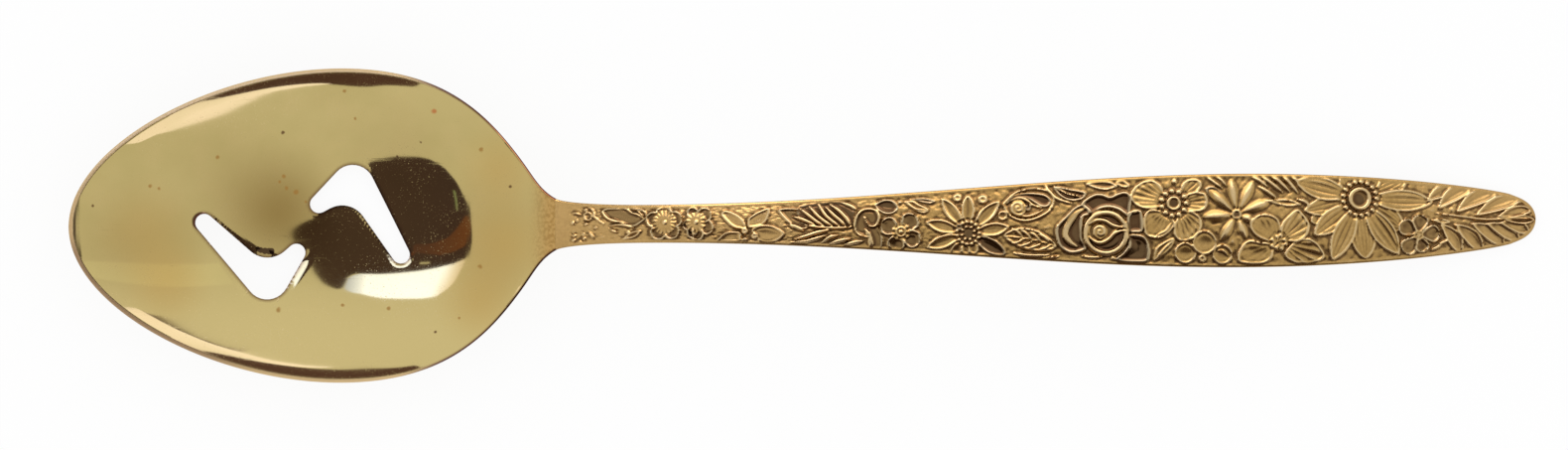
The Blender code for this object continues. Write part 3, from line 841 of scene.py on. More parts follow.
def strikeWideFlower(die):
    # wide-petalled flower with a ring of berries
    die.drawn(((50.6, -5.9), (50.8, -4.2), (52.0, -3.1), (53.6, -2.5), (53.2, -3.8), (52.0, -5.0)), "leaf")
    die.ridge(((50.9, -5.5), (52.0, -4.2), (53.2, -3.0)), 0.3)
    wide = (53.56, 2.55)
    hatch = {"lines": 0.08, "lineCount": 6.0}
    for petal in (
        ((54.6, 4.2), (55.0, 5.6), (56.4, 6.1), (57.6, 5.6), (57.3, 4.4), (55.8, 3.4)),
        ((55.2, 3.6), (56.7, 4.2), (58.2, 3.9), (58.5, 2.7), (57.9, 1.5), (56.2, 1.3), (55.2, 2.0)),
        ((55.2, 1.4), (56.6, 1.2), (57.6, 0.2), (57.5, -1.2), (56.4, -2.6), (54.6, -3.0), (53.5, -1.9),
         (53.9, 0.2)),
        ((52.0, 3.4), (51.9, 4.9), (50.6, 5.9), (49.0, 5.7), (47.6, 4.6), (47.3, 3.4), (48.0, 2.3),
         (49.6, 1.7), (51.6, 2.0)),
    ):
        die.drawn(petal, "plain", wide, **hatch)
    die.drawn((
        (50.0, 1.6), (51.8, 1.5), (53.2, 0.6), (53.7, -0.7), (52.0, -2.3), (50.2, -2.4), (49.3, -1.7),
        (49.2, 0.6),
    ), "round", wide, lines=0.03, lineCount=6.5)
    die.ridge(((51.0, -2.1), (52.4, -1.4), (53.2, -0.3)), 0.26)
    die.bead((53.7, 5.7), 0.36, 0.26)
    die.bead(wide, 2.2, 0.0, 0.02, 0.0, 0.6)
    die.beadRing(wide, 1.78, 11, 0.4, 0.32)
    die.ring(wide, 0.85, 0.4, 0.36)
    die.bead(wide, 0.48, 0.0, 0.02, 0.0, 1.0)

    # round-petalled blossom at the lower edge
    for x, y, radius in ((55.2, -4.65, 1.6), (60.6, -4.9, 1.5), (58.0, -3.15, 1.8)):
        die.petal((x - radius, y), 0, 2 * radius, 2 * radius, "round", widest=0.5)
    die.ridge(((59.9, -4.3), (60.8, -4.4), (61.4, -5.1)), 0.24)
    die.bead((57.65, -5.5), 0.55, 0.24, 0.16, 0.3)

    # star daisy with channelled rays
    star = (62.7, 0.9)
    leaf = ((58.2, 4.7), (59.6, 4.9), (61.0, 3.6), (61.6, 2.2), (60.2, 2.4), (58.8, 3.4))
    die.drawn(leaf, "hollow", rim=0.2)
    die.ridge(((58.3, 6.4), (59.4, 5.6), (60.6, 4.7)), 0.4)
    die.ridge(((59.6, 6.5), (60.6, 5.8), (61.2, 5.0)), 0.36)
    rays = (
        (99, 5.3, 1.6), (63, 5.5, 1.6), (22, 5.7, 1.6), (138, 5.4, 1.7), (184, 5.1, 1.8), (238, 4.5, 1.5),
        (291, 3.8, 1.4), (340, 2.8, 1.3),
    )
    die.flower(star, rays, 0.4, "roof")
    die.bead(star, 0.75, 0.1, 0.2)
    die.bead(star, 0.48, 0.0, 0.0, 0.0, 1.0)


def strikeMallow(die):
    # leaves between the daisies
    for blade in (
        ((66.3, 6.4), (67.8, 5.4), (69.4, 4.1)),
        ((67.6, 6.6), (69.0, 5.6), (70.4, 4.2)),
        ((69.4, 6.5), (70.5, 5.4), (71.6, 4.0)),
        ((70.6, 6.5), (72.2, 5.2), (74.2, 3.6)),
        ((66.0, 4.9), (67.2, 4.2), (68.4, 3.3)),
        ((64.9, 6.5), (66.2, 5.7), (67.2, 4.9)),
        ((72.4, 6.4), (73.4, 5.6), (74.4, 5.0)),
        ((71.6, 3.0), (72.8, 2.6), (73.6, 1.6)),
    ):
        die.ridge(blade, 0.6, 0.28)
    die.petal((66.6, 2.9), -6, 5.6, 1.0, "ray")

    # mallow with a seeded heart
    mallow = (68.8, -3.2)
    hatch = {"lines": 0.09, "lineCount": 4.6}
    faint = {"lines": 0.03, "lineCount": 5.0}
    for kind, how, petal in (
        ("round", faint, ((64.6, -0.4), (65.8, 0.8), (67.4, 0.9), (68.8, 0.1), (69.2, -1.6), (68.6, -2.9),
                          (67.0, -3.0), (65.2, -2.0))),
        ("round", faint, ((62.8, -5.8), (63.1, -4.2), (64.3, -2.9), (66.2, -3.1), (68.0, -3.5), (67.8, -5.4),
                          (66.4, -6.3), (64.2, -6.3))),
        ("plain", hatch, ((71.0, -3.2), (73.0, -2.6), (74.2, -3.1), (75.4, -4.6), (75.3, -5.6), (73.6, -6.3),
                          (71.2, -6.2), (69.6, -5.0))),
        ("plain", hatch, ((69.2, -2.6), (69.2, -0.6), (70.4, 0.8), (71.6, 1.6), (72.6, 0.7), (73.4, -0.8),
                          (72.6, -2.6), (70.8, -3.2))),
    ):
        die.drawn(petal, kind, mallow, **how)
    die.seedHead(mallow, 1.3, 14, 0.28, 0.12)


def strikeGreatDaisy(die):
    # great daisy, its striped petals under the lined ones
    great = (80.75, 3.1)
    under = (
        (275, 8.8, 3.8), (22, 7.4, 3.6), (325, 7.8, 3.4), (60, 4.6, 3.2), (120, 4.6, 3.2), (205, 8.0, 3.0),
    )
    over = (
        (192, 8.4, 2.8), (218, 8.6, 3.2), (165, 9.8, 3.3), (245, 9.9, 3.2), (305, 9.95, 3.4),
        (-3, 10.75, 3.2),
    )
    die.flower(great, under, 1.2, "striped")
    die.flower(great, over, 0.9, "lined")
    die.bead(great, 2.8, 0.0, 0.0, 0.0, 0.5)
    die.beadRing(great, 2.42, 17, 0.36, 0.32)
    die.bead(great, 1.75, 0.0, 0.06)
    die.ring(great, 1.4, 0.6, 0.36)
    die.bead((80.55, 2.95), 0.85, 0.0, -0.02, 0.0, 1.0)


def strikeSpray(die):
    # feathered spray to the end of the handle: foot along and across, turn, length, width, bow
    for x, y, turn, length, width, bow in (
        (90.6, 2.6, 26, 4.4, 1.9, 0.4), (92.2, 1.5, 32, 5.8, 2.3, 0.6), (94.9, 1.0, 26, 6.8, 2.4, 0.6),
        (97.7, 0.5, 20, 7.2, 2.3, 0.5), (100.9, 0.3, 11.5, 5.1, 1.7, 0.25), (92.5, -0.6, -54, 5.2, 2.2, 0.4),
        (94.6, -0.7, -44, 5.6, 2.3, 0.4), (97.0, -0.6, -33, 5.8, 2.3, 0.4), (99.2, -0.6, -27, 5.6, 2.1, 0.3),
        (101.2, -0.5, -18, 4.6, 1.9, 0.3), (101.9, -0.1, 0, 4.4, 1.3, 0.0), (91.2, -0.1, -6, 2.8, 0.7, 0.0),
    ):
        die.petal((x, y), turn, length, width, "lobe", bow=bow)
    die.ridge(((91.9, 0.9), (95.0, 0.5), (99.0, 0.0), (103.0, 0.1), (106.0, 0.1)), 0.32, 0.14)
    for vein in (((91.2, -4.4), (92.6, -3.7)), ((92.2, -3.6), (93.6, -3.0))):
        die.ridge(vein, 0.34, 0.3)

    # small blossom beside it
    small = (89.3, -2.25)
    petals = ((81, 3.0, 2.5), (147, 3.2, 2.6), (229, 3.3, 2.6), (290, 2.6, 2.2), (6, 3.2, 2.6))
    die.flower(small, petals, 0.1, "round", widest=0.68, rim=0.26, polish=0.5)
    die.ring(small, 0.6, 0.28)
    die.bead(small, 0.3, 0.3, 0.1, 0.14)


def blurred(values, reach):
    # each value becomes the mean of those round it, twice along and twice across
    window = 2 * reach + 1
    for axis in (0, 0, 1, 1):
        count = values.shape[axis]
        wide = np.clip(np.arange(-reach, count + reach), 0, count - 1)
        padded = values.take(wide, axis)
        values = sum(padded.take(range(k, k + count), axis) for k in range(window)) / window
    return values


def makeHandle():
    x, y, z = ringSurface(handleSizes, "root", "end")
    top = slice(0, handleSizes["across"] + 1)
    relief = Relief(x[:, top], y[:, top])
    for strikeMotif in (
        strikeNeck, strikeFern, strikeRose, strikeWideFlower, strikeMallow, strikeGreatDaisy, strikeSpray,
    ):
        strikeMotif(relief)
    chance = np.random.default_rng(handleSizes["seed"])
    pebbles = blurred(chance.normal(size=relief.high.shape), 1)
    relief.high += handleSizes["pebbles"] * pebbles * (1 - relief.cover)
    relief.high += handleSizes["softness"] * (blurred(relief.high, 1) - relief.high)
    stem = handleSizes["plainStem"]
    fade = smooth(0.0, handleSizes["plainEdge"], np.abs(y[:, :1]) - np.abs(y[:, top]))
    fade = fade * smooth(stem, stem + handleSizes["plainStemFade"], x[:, top])
    high = (relief.high + handleSizes["ground"]) * fade
    z[:, top] += high
    z[:, -1] = z[:, 0]
    around = blurred(high, handleSizes["hollowReach"])
    marks = {}
    for key, plain, values in (
        ("hollow", 0.5, np.clip(0.5 + (high - around) / handleSizes["hollowHeight"], 0, 1)),
        ("ground", 0.0, (1 - relief.cover) * fade),
        ("polish", 0.0, relief.polish * fade),
    ):
        marks[key] = np.full(z.shape, plain)
        marks[key][:, top] = values
        marks[key][:, -1] = marks[key][:, 0]
    handle = wrapGrid("spoonHandle", x, y, z, marks)
    finishPiece(handle, handleSizes["sharpAngle"], makeHandleGold())
    return handle


class Wire:  # a socket that can stand in a Python sum
    def __init__(self, bench, socket):
        self.bench = bench
        self.socket = socket

    def out(self, name):
        return Wire(self.bench, self.socket.node.outputs[name])

    def join(self, operation, other):
        return self.bench.add("ShaderNodeMath", {"operation": operation}, {0: self, 1: other})

    def __add__(self, other):
        return self.join("ADD", other)

    def __sub__(self, other):
        return self.join("SUBTRACT", other)

    def __rsub__(self, other):
        return self.bench.add("ShaderNodeMath", {"operation": "SUBTRACT"}, {0: other, 1: self})

    def __mul__(self, other):
        return self.join("MULTIPLY", other)

    def __truediv__(self, other):
        return self.join("DIVIDE", other)

    __radd__ = __add__


class Bench:  # one node tree to work on
    def __init__(self, owner):
        owner.use_nodes = True
        self.tree = owner.node_tree

    def add(self, kind, settings=None, sockets=None, out=0):
        node = self.tree.nodes.new(kind)
        for name, value in (settings or {}).items():
            if name == "stops":
                stops = node.color_ramp.elements
                while len(stops) < len(value):
                    stops.new(1.0)
                for stop, (position, colour) in zip(stops, value):
                    stop.position = position
                    stop.color = (*colour, 1)
            else:
                setattr(node, name, value)
        for name, value in (sockets or {}).items():
            self.plug(node.inputs[name], value)
        return Wire(self, node.outputs[out]) if node.outputs else node

    def plug(self, socket, value):
        if isinstance(value, Wire):
            self.tree.links.new(value.socket, socket)
        else:
            socket.default_value = value

    def mix(self, factor, first, second):
        first, second = [(*c, 1) if isinstance(c, tuple) else c for c in (first, second)]
        return self.add("ShaderNodeMix", {"data_type": "RGBA"}, {0: factor, 6: first, 7: second}, 2)

    def ramp(self, value, low, high, start=0.0, end=1.0):
        settings = {"interpolation_type": "SMOOTHSTEP"}
        sockets = {"Value": value, "From Min": low, "From Max": high, "To Min": start, "To Max": end}
        return self.add("ShaderNodeMapRange", settings, sockets)

    def fade(self, value, span):
        # a ramp between two places in mm
        return self.ramp(value, span[0] * mm, span[1] * mm)

    def noise(self, where, scale, detail=2.0):
        return self.add("ShaderNodeTexNoise", {}, {"Vector": where, "Scale": scale, "Detail": detail})

    def mark(self, name):
        return self.add("ShaderNodeAttribute", {"attribute_name": name}, out="Fac")

    def place(self):
        # the spot on the spoon, and its parts along and across
        where = self.add("ShaderNodeTexCoord", out="Object")
        along = self.add("ShaderNodeSeparateXYZ", {}, {0: where})
        return where, along, along.out("Y")

    def farFrom(self, where, x, y):
        # distance from a spot as seen from above
        flat = self.add("ShaderNodeVectorMath", {"operation": "MULTIPLY"}, {0: where, 1: (1, 1, 0)})
        spot = (x * mm, y * mm, 0)
        return self.add("ShaderNodeVectorMath", {"operation": "DISTANCE"}, {0: flat, 1: spot}, "Value")


def freshMaterial(name):
    material = bpy.data.materials.new(name)
    bench = Bench(material)
    return material, bench, bench.tree.nodes["Principled BSDF"]


# What both golds have: slow clouds of colour, a fine stipple and a grain
plating = {
    "cloudFrom": (0.3, 0.7),
    "stipple": 2200.0,
    "stippleFrom": (0.36, 0.64),
    "grain": 2600.0,
    "bump": 0.25,
    "bumpHeight": 0.1,
}


def stippled(bench, where):
    return bench.ramp(bench.noise(where, plating["stipple"], 1.0), *plating["stippleFrom"])


def paint(bench, colour, gold, layers):
    for key, mask in layers:
        tint, strength = gold[key]
        colour = bench.mix(mask * strength, colour, tint)
    return colour


def finishGold(bench, shader, colour, metal, rough, height):
    sockets = {"Strength": plating["bump"], "Distance": plating["bumpHeight"] * mm, "Height": height}
    bench.plug(shader.inputs["Base Color"], colour)
    bench.plug(shader.inputs["Metallic"], metal)
    bench.plug(shader.inputs["Roughness"], rough)
    bench.plug(shader.inputs["Normal"], bench.add("ShaderNodeBump", {}, sockets))


# Polished metal of the bowl, with its satin root, dust, hair scratches and worn spots, painted reflections,
# painted shade and a painted dark red fringe. Each layer of colour has its strength beside it
bowlGold = {
    "clouds": 60.0,
    "khaki": ((0.47, 0.375, 0.145), (0.53, 0.425, 0.175)),
    "patches": 220.0,
    "patch": ((0.56, 0.42, 0.18), 0.25),
    "patchFrom": (0.35, 0.75),
    "satin": ((0.36, 0.215, 0.066), (0.47, 0.295, 0.10)),
    "satinFrom": (-40.2, -36.6),  # where the polish stops, along the spoon
    "satinWaver": 1.0,
    "lit": ((0.60, 0.48, 0.205), 0.8),  # towards the near side
    "litFrom": (-4.0, -16.0),
    # along, across, radius in mm and strength of the painted brown dark reflection and the painted orange
    # warm reflection
    "haze": ((0.28, 0.19, 0.06), 1.0),
    "hazes": (
        (-76.3, 2.0, 12, 0.95), (-96.7, -2.5, 12, 0.4), (-84, 6, 12, 0.25), (-59, 10, 10, 0.2),
        (-44.5, 0, 11, 0.35), (-45.3, -6.5, 8, 0.2),
    ),
    "warm": ((0.50, 0.33, 0.10), 1.0),
    "warms": (
        (-43.5, -3, 10, 0.6), (-47, -11, 8, 0.6), (-92.5, -8, 8, 0.6), (-95.5, -1, 9, 0.4), (-44, 8, 8, 0.5),
    ),
    # stains: along, across and radius in mm
    "spotNoise": 1500.0,
    "spotEdge": (0.3, 0.5),  # share of the radius at full strength, and raggedness
    "darkSpot": ((0.14, 0.075, 0.03), 0.95),
    "darkSpots": (
        (-75.5, 13.5, 0.35), (-103, 3, 0.3), (-42.5, 5.5, 0.3), (-55.5, 12, 0.25), (-59, 10, 0.25),
        (-53.5, -15.5, 0.3),
    ),
    "brownSpot": ((0.33, 0.17, 0.04), 0.8),
    "brownSpots": (
        (-47, -6, 0.45), (-94.8, 5.9, 0.4), (-93.5, 5.5, 0.3), (-75.5, 7.2, 0.45), (-73.7, 4.9, 0.5),
        (-75.1, 5.5, 0.4), (-76.1, 6.4, 0.3), (-72.3, 3.5, 0.3), (-76.3, -12.2, 0.5), (-67, -11.5, 0.35),
        (-60.4, -12, 0.4), (-50, -13.5, 0.3), (-66.5, 19.5, 0.35), (-65, 15.5, 0.3), (-46.7, 10.9, 0.45),
        (-85, 10, 0.4),
    ),
    "redSpot": ((0.46, 0.17, 0.055), 0.9),
    "redSpots": ((-53.5, 16.5, 0.55),),
    # painted shade beside the slots: at the tip of one and along the bend of the other
    "burr": ((0.075, 0.045, 0.022), 1.0),
    "burrs": (
        (-87.4, 0.72, 1.5), (-79.3, -3.3, 0.4), (-78.9, -3.5, 0.48), (-78.3, -3.62, 0.52),
        (-77.7, -3.66, 0.52), (-77.35, -3.66, 0.5),
    ),
    "slotShadeEdge": (0.8, 0.12),
    "rimTan": ((0.65, 0.44, 0.22), 0.7),
    # painted shade on the rim's near side towards the tip
    "rimBrown": ((0.26, 0.14, 0.08), 0.6),  # the rim's near side towards the tip
    "rimPaintedShadeAcross": (-0.5, -4.0),
    "rimPaintedShadeAlong": (-78.0, -88.0),
    # painted dark red fringe along the cut edges
    "redEdge": ((0.08, 0.016, 0.012), 1.0),
    "dust": 5200.0,
    "dustPatches": 0.25,
    "dustFrom": (0.69, 0.76),
    # hair scratches: direction, fineness, and how many show
    "hairs": ((0.6, (90, 2600, 600), (0.66, 0.74)), (-1.1, (70, 2200, 500), (0.68, 0.76))),
    "tipFrom": (-104.5, -105.4),  # the tip is a little blurred
    "gloss": (0.045, 0.075),  # roughness of the clean polish, and what else adds to it
    "rougher": {"hairs": 0.05, "rim": 0.38, "dust": 0.2, "satin": 0.36, "tip": 0.3},
    "duller": {"dust": 0.5, "rim": 0.55},  # what takes from the metal's shine
    "lathe": {"Scale": 160.0, "Distortion": 1.5},  # faint rings left by polishing
    "hairBump": 0.03,
    "latheBump": 0.02,
    "satinBump": 0.5,
}


def spotMask(bench, where, spots, core, ragged):
    # round stains, and round painted shade, with ragged edges
    ragged = (bench.noise(where, bowlGold["spotNoise"]) - 0.5) * (ragged * mm)
    mask = 0.0
    for x, y, radius in spots:
        far = bench.farFrom(where, x, y) + ragged
        mask = bench.fade(far, (radius, core * radius)) + mask
    return mask


def makeBowlGold():
    material, bench, shader = freshMaterial("polishedGold")
    where, along, across = bench.place()
    cloud = bench.noise(where, bowlGold["clouds"], 4.0)
    patch = bench.noise(where, bowlGold["patches"], 3.0)
    dust = bench.noise(where, bowlGold["dust"], 1.0) + (patch - 0.5) * bowlGold["dustPatches"]
    hairs = 0.0
    for turn, fineness, span in bowlGold["hairs"]:
        sockets = {"Vector": where, "Rotation": (0, 0, turn), "Scale": fineness}
        hairs = bench.ramp(bench.noise(bench.add("ShaderNodeMapping", {}, sockets), 1.0), *span) + hairs
    masks = {
        "hairs": hairs,
        "rim": bench.mark("rim"),
        "dust": bench.ramp(dust, *bowlGold["dustFrom"]),
        "satin": bench.fade(along + (cloud - 0.5) * (bowlGold["satinWaver"] * mm), bowlGold["satinFrom"]),
        "tip": bench.fade(along, bowlGold["tipFrom"]),
    }

    layers = [
        ("patch", bench.ramp(patch, *bowlGold["patchFrom"])),
        ("lit", bench.fade(across, bowlGold["litFrom"])),
    ]
    # painted dark and warm reflections in broad round patches
    for key in ("haze", "warm"):
        for x, y, radius, strength in bowlGold[key + "s"]:
            layers.append((key, bench.fade(bench.farFrom(where, x, y), (radius, 0.0)) * strength))
    # painted shade beside the slots, then the real stains
    for key in ("burr", "darkSpot", "brownSpot", "redSpot"):
        edge = bowlGold["slotShadeEdge" if key == "burr" else "spotEdge"]
        layers.append((key, spotMask(bench, where, bowlGold[key + "s"], *edge)))
    # painted shade on the worn rim's near side towards the tip
    nearTip = bench.fade(across, bowlGold["rimPaintedShadeAcross"]) * bench.fade(along, bowlGold["rimPaintedShadeAlong"])
    layers += [("rimTan", masks["rim"]), ("rimBrown", masks["rim"] * nearTip)]
    colour = bench.mix(bench.ramp(cloud, *plating["cloudFrom"]), *bowlGold["khaki"])
    colour = paint(bench, colour, bowlGold, layers)
    colour = bench.mix(masks["satin"], colour, bench.mix(stippled(bench, where), *bowlGold["satin"]))
    # painted dark red fringe along the slots' edges and the rim's side towards the handle
    colour = paint(bench, colour, bowlGold, [("redEdge", bench.mark("cutEdge"))])

    metal = 1.0
    for key, share in bowlGold["duller"].items():
        metal = metal - masks[key] * share
    rough = bench.ramp(cloud, *plating["cloudFrom"], *bowlGold["gloss"])
    for key, share in bowlGold["rougher"].items():
        rough = rough + masks[key] * share
    settings = {"wave_type": "RINGS"}
    rings = bench.add("ShaderNodeTexWave", settings, {"Vector": where, **bowlGold["lathe"]}, "Fac")
    grain = bench.noise(where, plating["grain"]) * masks["satin"]
    height = hairs * bowlGold["hairBump"] + rings * bowlGold["latheBump"] + grain * bowlGold["satinBump"]
    finishGold(bench, shader, colour, metal, rough, height)
    return material


# Struck metal of the handle: dark in the hollows, partly tarnish and partly painted shade, with a painted
# dark reflection on the polished hearts and a painted highlight on the ridges
handleGold = {
    "clouds": 200.0,
    "gold": ((0.385, 0.238, 0.078), (0.45, 0.285, 0.10)),
    "stipple": ((0.27, 0.16, 0.05), 0.35),
    "pale": ((0.62, 0.40, 0.17), 0.25),
    "paleFrom": ((12.0, 2.0), (84.0, 96.0)),  # towards the stem and towards the end
    # painted dark reflection on the polished hearts
    "polish": ((0.089, 0.052, 0.026), 0.9),
    # darkening in the hollows: partly tarnish, partly painted shade
    "hollow": ((0.075, 0.036, 0.016), 0.8),
    "hollowFrom": (0.44, 0.1),
    # painted highlight on the ridges
    "ridgeHighlight": ((0.85, 0.68, 0.40), 0.4),
    "ridgeHighlightFrom": (0.56, 0.95),
    "roughness": 0.26,
    "groundRougher": 0.1,
    "polishSmoother": 0.1,
    "grainBump": 0.2,
}


def makeHandleGold():
    material, bench, shader = freshMaterial("struckGold")
    where, along, _ = bench.place()
    hollow, ground, polish = [bench.mark(key) for key in ("hollow", "ground", "polish")]
    cloud = bench.noise(where, handleGold["clouds"], 4.0)
    stem, end = [bench.fade(along, span) for span in handleGold["paleFrom"]]
    colour = bench.mix(bench.ramp(cloud, *plating["cloudFrom"]), *handleGold["gold"])
    colour = paint(bench, colour, handleGold, (
        ("stipple", 1 - stippled(bench, where)),
        ("pale", stem + end),
        ("polish", polish),
        ("hollow", bench.ramp(hollow, *handleGold["hollowFrom"])),
        ("ridgeHighlight", bench.ramp(hollow, *handleGold["ridgeHighlightFrom"])),
    ))
    rough = handleGold["roughness"] + ground * handleGold["groundRougher"]
    rough = rough - polish * handleGold["polishSmoother"]
    grain = bench.noise(where, plating["grain"]) * (handleGold["grainBump"] + ground)
    finishGold(bench, shader, colour, 1.0, rough, grain)
    return material


# Stage: a white floor and a plain white surround, with cards hung round the spoon for its metal to show
stage = {
    "floorSize": 6.0,  # metres, all else in mm
    "floorWhite": 0.95,
    "floorRoughness": 0.9,
    "floorGlow": 0.9,  # share of the floor's white that is its own, the rest takes the shadow
    "overhead": 145.0,  # height of the cards that lie flat
    "cornerSteps": 5,
    "stops": {"brightCard": (0.0, 0.16, 0.36, 0.93, 1.0)},  # where its colours lie, all others are even
}

# How each card hangs and where, the rounding of its corners, the corners, and its colours along the spoon.
# One "over" the spoon lies flat, that far under the overhead height, with corners along and across. One
# "beside" it has them along and up, and one "across" it has them across and up
cards = {
    "darkCard": ("over", 0, 30, (
        (-23, 16), (-24, 0), (-34, -11), (-44, -25), (-74, -98), (-115, -125), (-164, -148), (-215, -168),
        (-250, -168), (-278, -142), (-300, -80), (-298, -8), (-312, 50), (-316, 114), (-257, 113),
        (-200, 103), (-126, 84), (-53, 66), (-49, 97), (-38, 83), (-32, 57), (-29, 33),
    ), ((0.09, 0.06, 0.08), (0.11, 0.075, 0.08))),
    "brightCard": ("over", 0, 14, (
        (-53, 66), (-126, 84), (-200, 103), (-257, 113), (-316, 116), (-313, 138), (-298, 195),
        (-255, 205), (-180, 168), (-90, 123), (-50, 100),
    ), ((1.4, 1.35, 1.6), (1.7, 1.75, 2.5), (2.2, 2.6, 4.8), (2.2, 2.6, 4.8), (0.9, 1.1, 2.2))),
    "brownCard": ("over", 1, 20, (
        (-118, 32), (-156, 38), (-203, 32), (-240, 6), (-286, -34), (-295, 3), (-288, 66), (-240, 74),
        (-192, 71), (-126, 48),
    ), ((0.27, 0.12, 0.075), (0.15, 0.08, 0.08))),
    "greenGlint": (
        "over", 2, 8, ((-246, -100), (-256, -100), (-244, -40), (-236, -40)), ((0.38, 0.5, 0.38),),
    ),
    "lightRail": ("over", 2, 8, ((-142, 70), (-167, 78), (-167, 82), (-142, 74)), ((0.9, 0.9, 0.9),)),
    "paleBand": ("over", 0, 8, ((-23, 38), (0, 44), (0, 74), (-23, 68)), ((1.1, 1.12, 1.1),)),
    "farWarmCard": ("over", 0, 8, (
        (9, -146), (60, -160), (110, -250), (180, -450), (250, -790), (-65, -790), (-18, -576), (2, -436),
        (3, -320), (4, -225), (6, -175),
    ), ((1.95, 1.9, 2.7), (1.5, 1.45, 1.8))),
    "nearWarmCard": ("over", 0, 8, (
        (12, 138), (40, 145), (110, 255), (180, 450), (250, 760), (-65, 760), (-15, 578), (6, 432),
        (11, 296), (17, 240), (18, 200), (15, 165),
    ), ((1.8, 1.75, 2.4), (1.4, 1.35, 1.6))),
    "nearDarkRail": ("over", 1, 8, (
        (7, 136), (10, 165), (13, 200), (12, 240), (6, 296), (11, 296), (18, 240), (19, 200), (16, 165),
        (13, 138),
    ), ((0.2, 0.15, 0.15),)),
    "handleShade": ("beside", -45, 8, ((-28, 75), (125, 180), (125, 8), (-28, 8)), ((0.10, 0.06, 0.04),)),
    "handleLight": ("beside", 60, 8, ((-5, 115), (125, 115), (125, 25), (-5, 25)), ((3.6, 3.3, 3.2),)),
    "neckLight": (
        "beside", 45, 8, ((-36, 74), (-5, 74), (-5, 23), (-36, 23)), ((7.0, 6.4, 6.2), (5.0, 4.6, 4.4)),
    ),
    "neckRoof": ("over", 73, 8, ((-43, -24), (2, -24), (2, 24), (-43, 24)), ((1, 1, 1),)),
    "farCurtain": ("beside", -2000, 8, (
        (900, 500), (550, 520), (100, 410), (-450, 290), (-800, 190), (-1200, 5), (900, 5),
    ), ((0.14, 0.08, 0.09),)),
    "nearCurtain": ("beside", 2000, 8, (
        (900, 450), (550, 470), (300, 390), (-150, 260), (-800, 160), (-1200, 5), (900, 5),
    ), ((0.14, 0.08, 0.09),)),
    # keeps the dark ones out of the handle
    "rootCard": ("across", -43.5, 8, ((-55, 12.8), (55, 12.8), (55, 82), (-55, 82)), ((1, 1, 1),)),
}


def makeGlow(name, stops, low, high):
    # light of its own, with its colour changing along the spoon
    material = bpy.data.materials.new(name)
    bench = Bench(material)
    bench.tree.nodes.clear()
    along = bench.place()[1]
    share = (along - low * mm) / ((high - low) * mm + 1e-6)
    colour = bench.add("ShaderNodeValToRGB", {"stops": stops}, {0: share})
    glow = bench.add("ShaderNodeEmission", {}, {"Color": colour})
    bench.add("ShaderNodeOutputMaterial", {}, {"Surface": glow})
    return material


def makeCard(name, hanging, distance, rounding, corners, colours):
    # only the metal's reflections show it
    spots = {
        "over": [(a, b, stage["overhead"] - distance) for a, b in corners],
        "beside": [(a, distance, b) for a, b in corners],
        "across": [(distance, a, b) for a, b in corners],
    }[hanging]
    plate = makePlate(name, spots)
    bevel = {"affect": "VERTICES", "offset": rounding * mm, "segments": stage["cornerSteps"]}
    editAll(
        (bpy.ops.mesh.bevel, {**bevel, "clamp_overlap": True}),
        (bpy.ops.mesh.quads_convert_to_tris, {}),
    )
    stops = stage["stops"].get(name, (0.0, 1.0))
    colours = colours if len(colours) > 1 else colours * 2
    reach = [spot[0] for spot in spots]
    plate.data.materials.append(makeGlow(name, list(zip(stops, colours)), min(reach), max(reach)))
    plate.visible_camera = False
    plate.visible_diffuse = False
    plate.visible_shadow = False


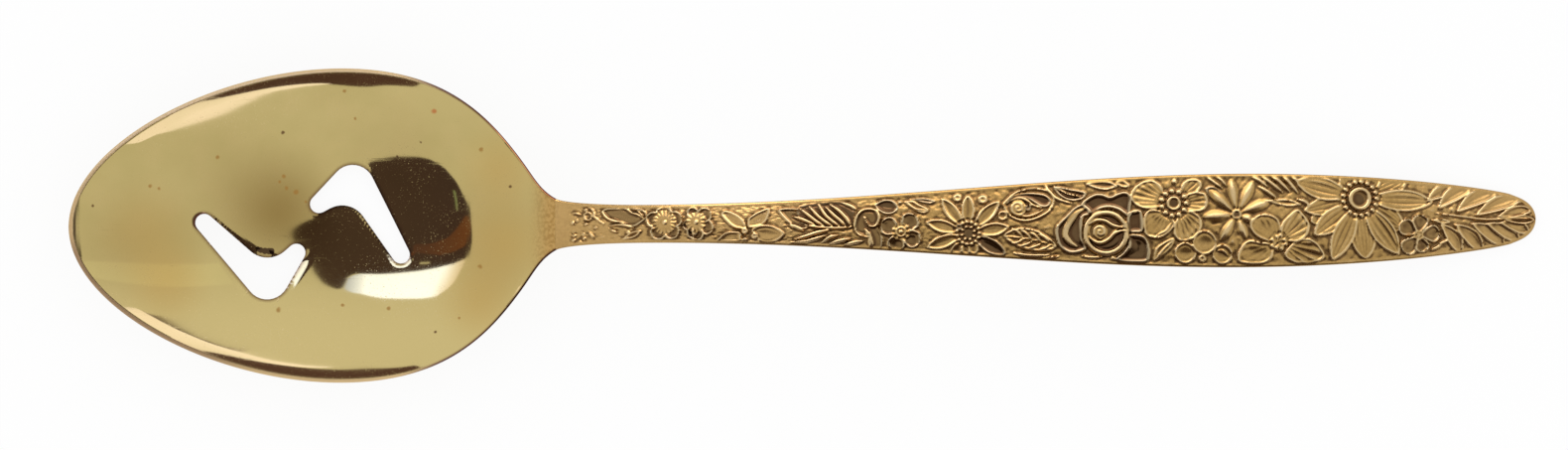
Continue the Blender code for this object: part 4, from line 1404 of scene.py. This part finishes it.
def makeStage():
    bpy.ops.mesh.primitive_plane_add(size=stage["floorSize"])
    floor = bpy.context.object
    floor.name = "floor"
    material, bench, shader = freshMaterial("whiteTable")
    white = stage["floorWhite"]
    shader.inputs["Base Color"].default_value = (white, white, white, 1)
    shader.inputs["Roughness"].default_value = stage["floorRoughness"]
    shader.inputs["Specular IOR Level"].default_value = 0.0
    seen = path = bench.add("ShaderNodeLightPath", out="Is Camera Ray")
    for ray in ("Is Glossy Ray", "Is Transmission Ray"):
        seen = seen.join("MAXIMUM", path.out(ray))
    glow = bench.add("ShaderNodeEmission", {}, {"Color": (1, 1, 1, 1)})
    table = Wire(bench, shader.outputs[0])
    lit = bench.add("ShaderNodeMixShader", {}, {0: seen * stage["floorGlow"], 1: table, 2: glow})
    bench.plug(bench.tree.nodes["Material Output"].inputs["Surface"], lit)
    floor.data.materials.append(material)
    for name, card in cards.items():
        makeCard(name, *card)
    world = bpy.data.worlds.new("whiteSurround")
    bpy.context.scene.world = world
    back = Bench(world).tree.nodes["Background"]
    back.inputs["Color"].default_value = (1, 1, 1, 1)
    print("stage set with", len(cards), "cards")


# Camera: straight above, with the spoon framed as in the photograph
camera = {
    "imageWidth": 1580,
    "tipPixel": 68.6,  # where the bowl's tip and the handle's end stand in the picture
    "endPixel": 1550.8,
    "middlePixel": 226.5,
    "axisPixel": 224.6,  # height of the spoon's axis in the middle of the picture
    "roll": 0.32,
    "lens": 400.0,
    "focusHeight": 12.0,
    "clipEnd": 100.0,  # metres
}


def makeCamera():
    scale = (place["end"] - place["tip"]) / (camera["endPixel"] - camera["tipPixel"])
    middleX = place["tip"] + (camera["imageWidth"] / 2 - camera["tipPixel"]) * scale
    middleY = (camera["axisPixel"] - camera["middlePixel"]) * scale
    width = camera["imageWidth"] * scale
    bpy.ops.object.camera_add()
    view = bpy.context.object
    view.name = "photoCamera"
    view.data.lens = camera["lens"]
    view.data.clip_end = camera["clipEnd"]
    distance = width * camera["lens"] / view.data.sensor_width
    view.location = (middleX * mm, middleY * mm, (camera["focusHeight"] + distance) * mm)
    view.rotation_euler = (0, 0, math.radians(-camera["roll"]))
    bpy.context.scene.camera = view
    bpy.context.scene.view_settings.view_transform = "Standard"
    print("camera at", round(view.location.z, 3), "m")


bowl = makeBowl()
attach(bowl, "root")
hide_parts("bowl")

handle = makeHandle()
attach(handle, "root")
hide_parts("handle")

makeStage()
makeCamera()
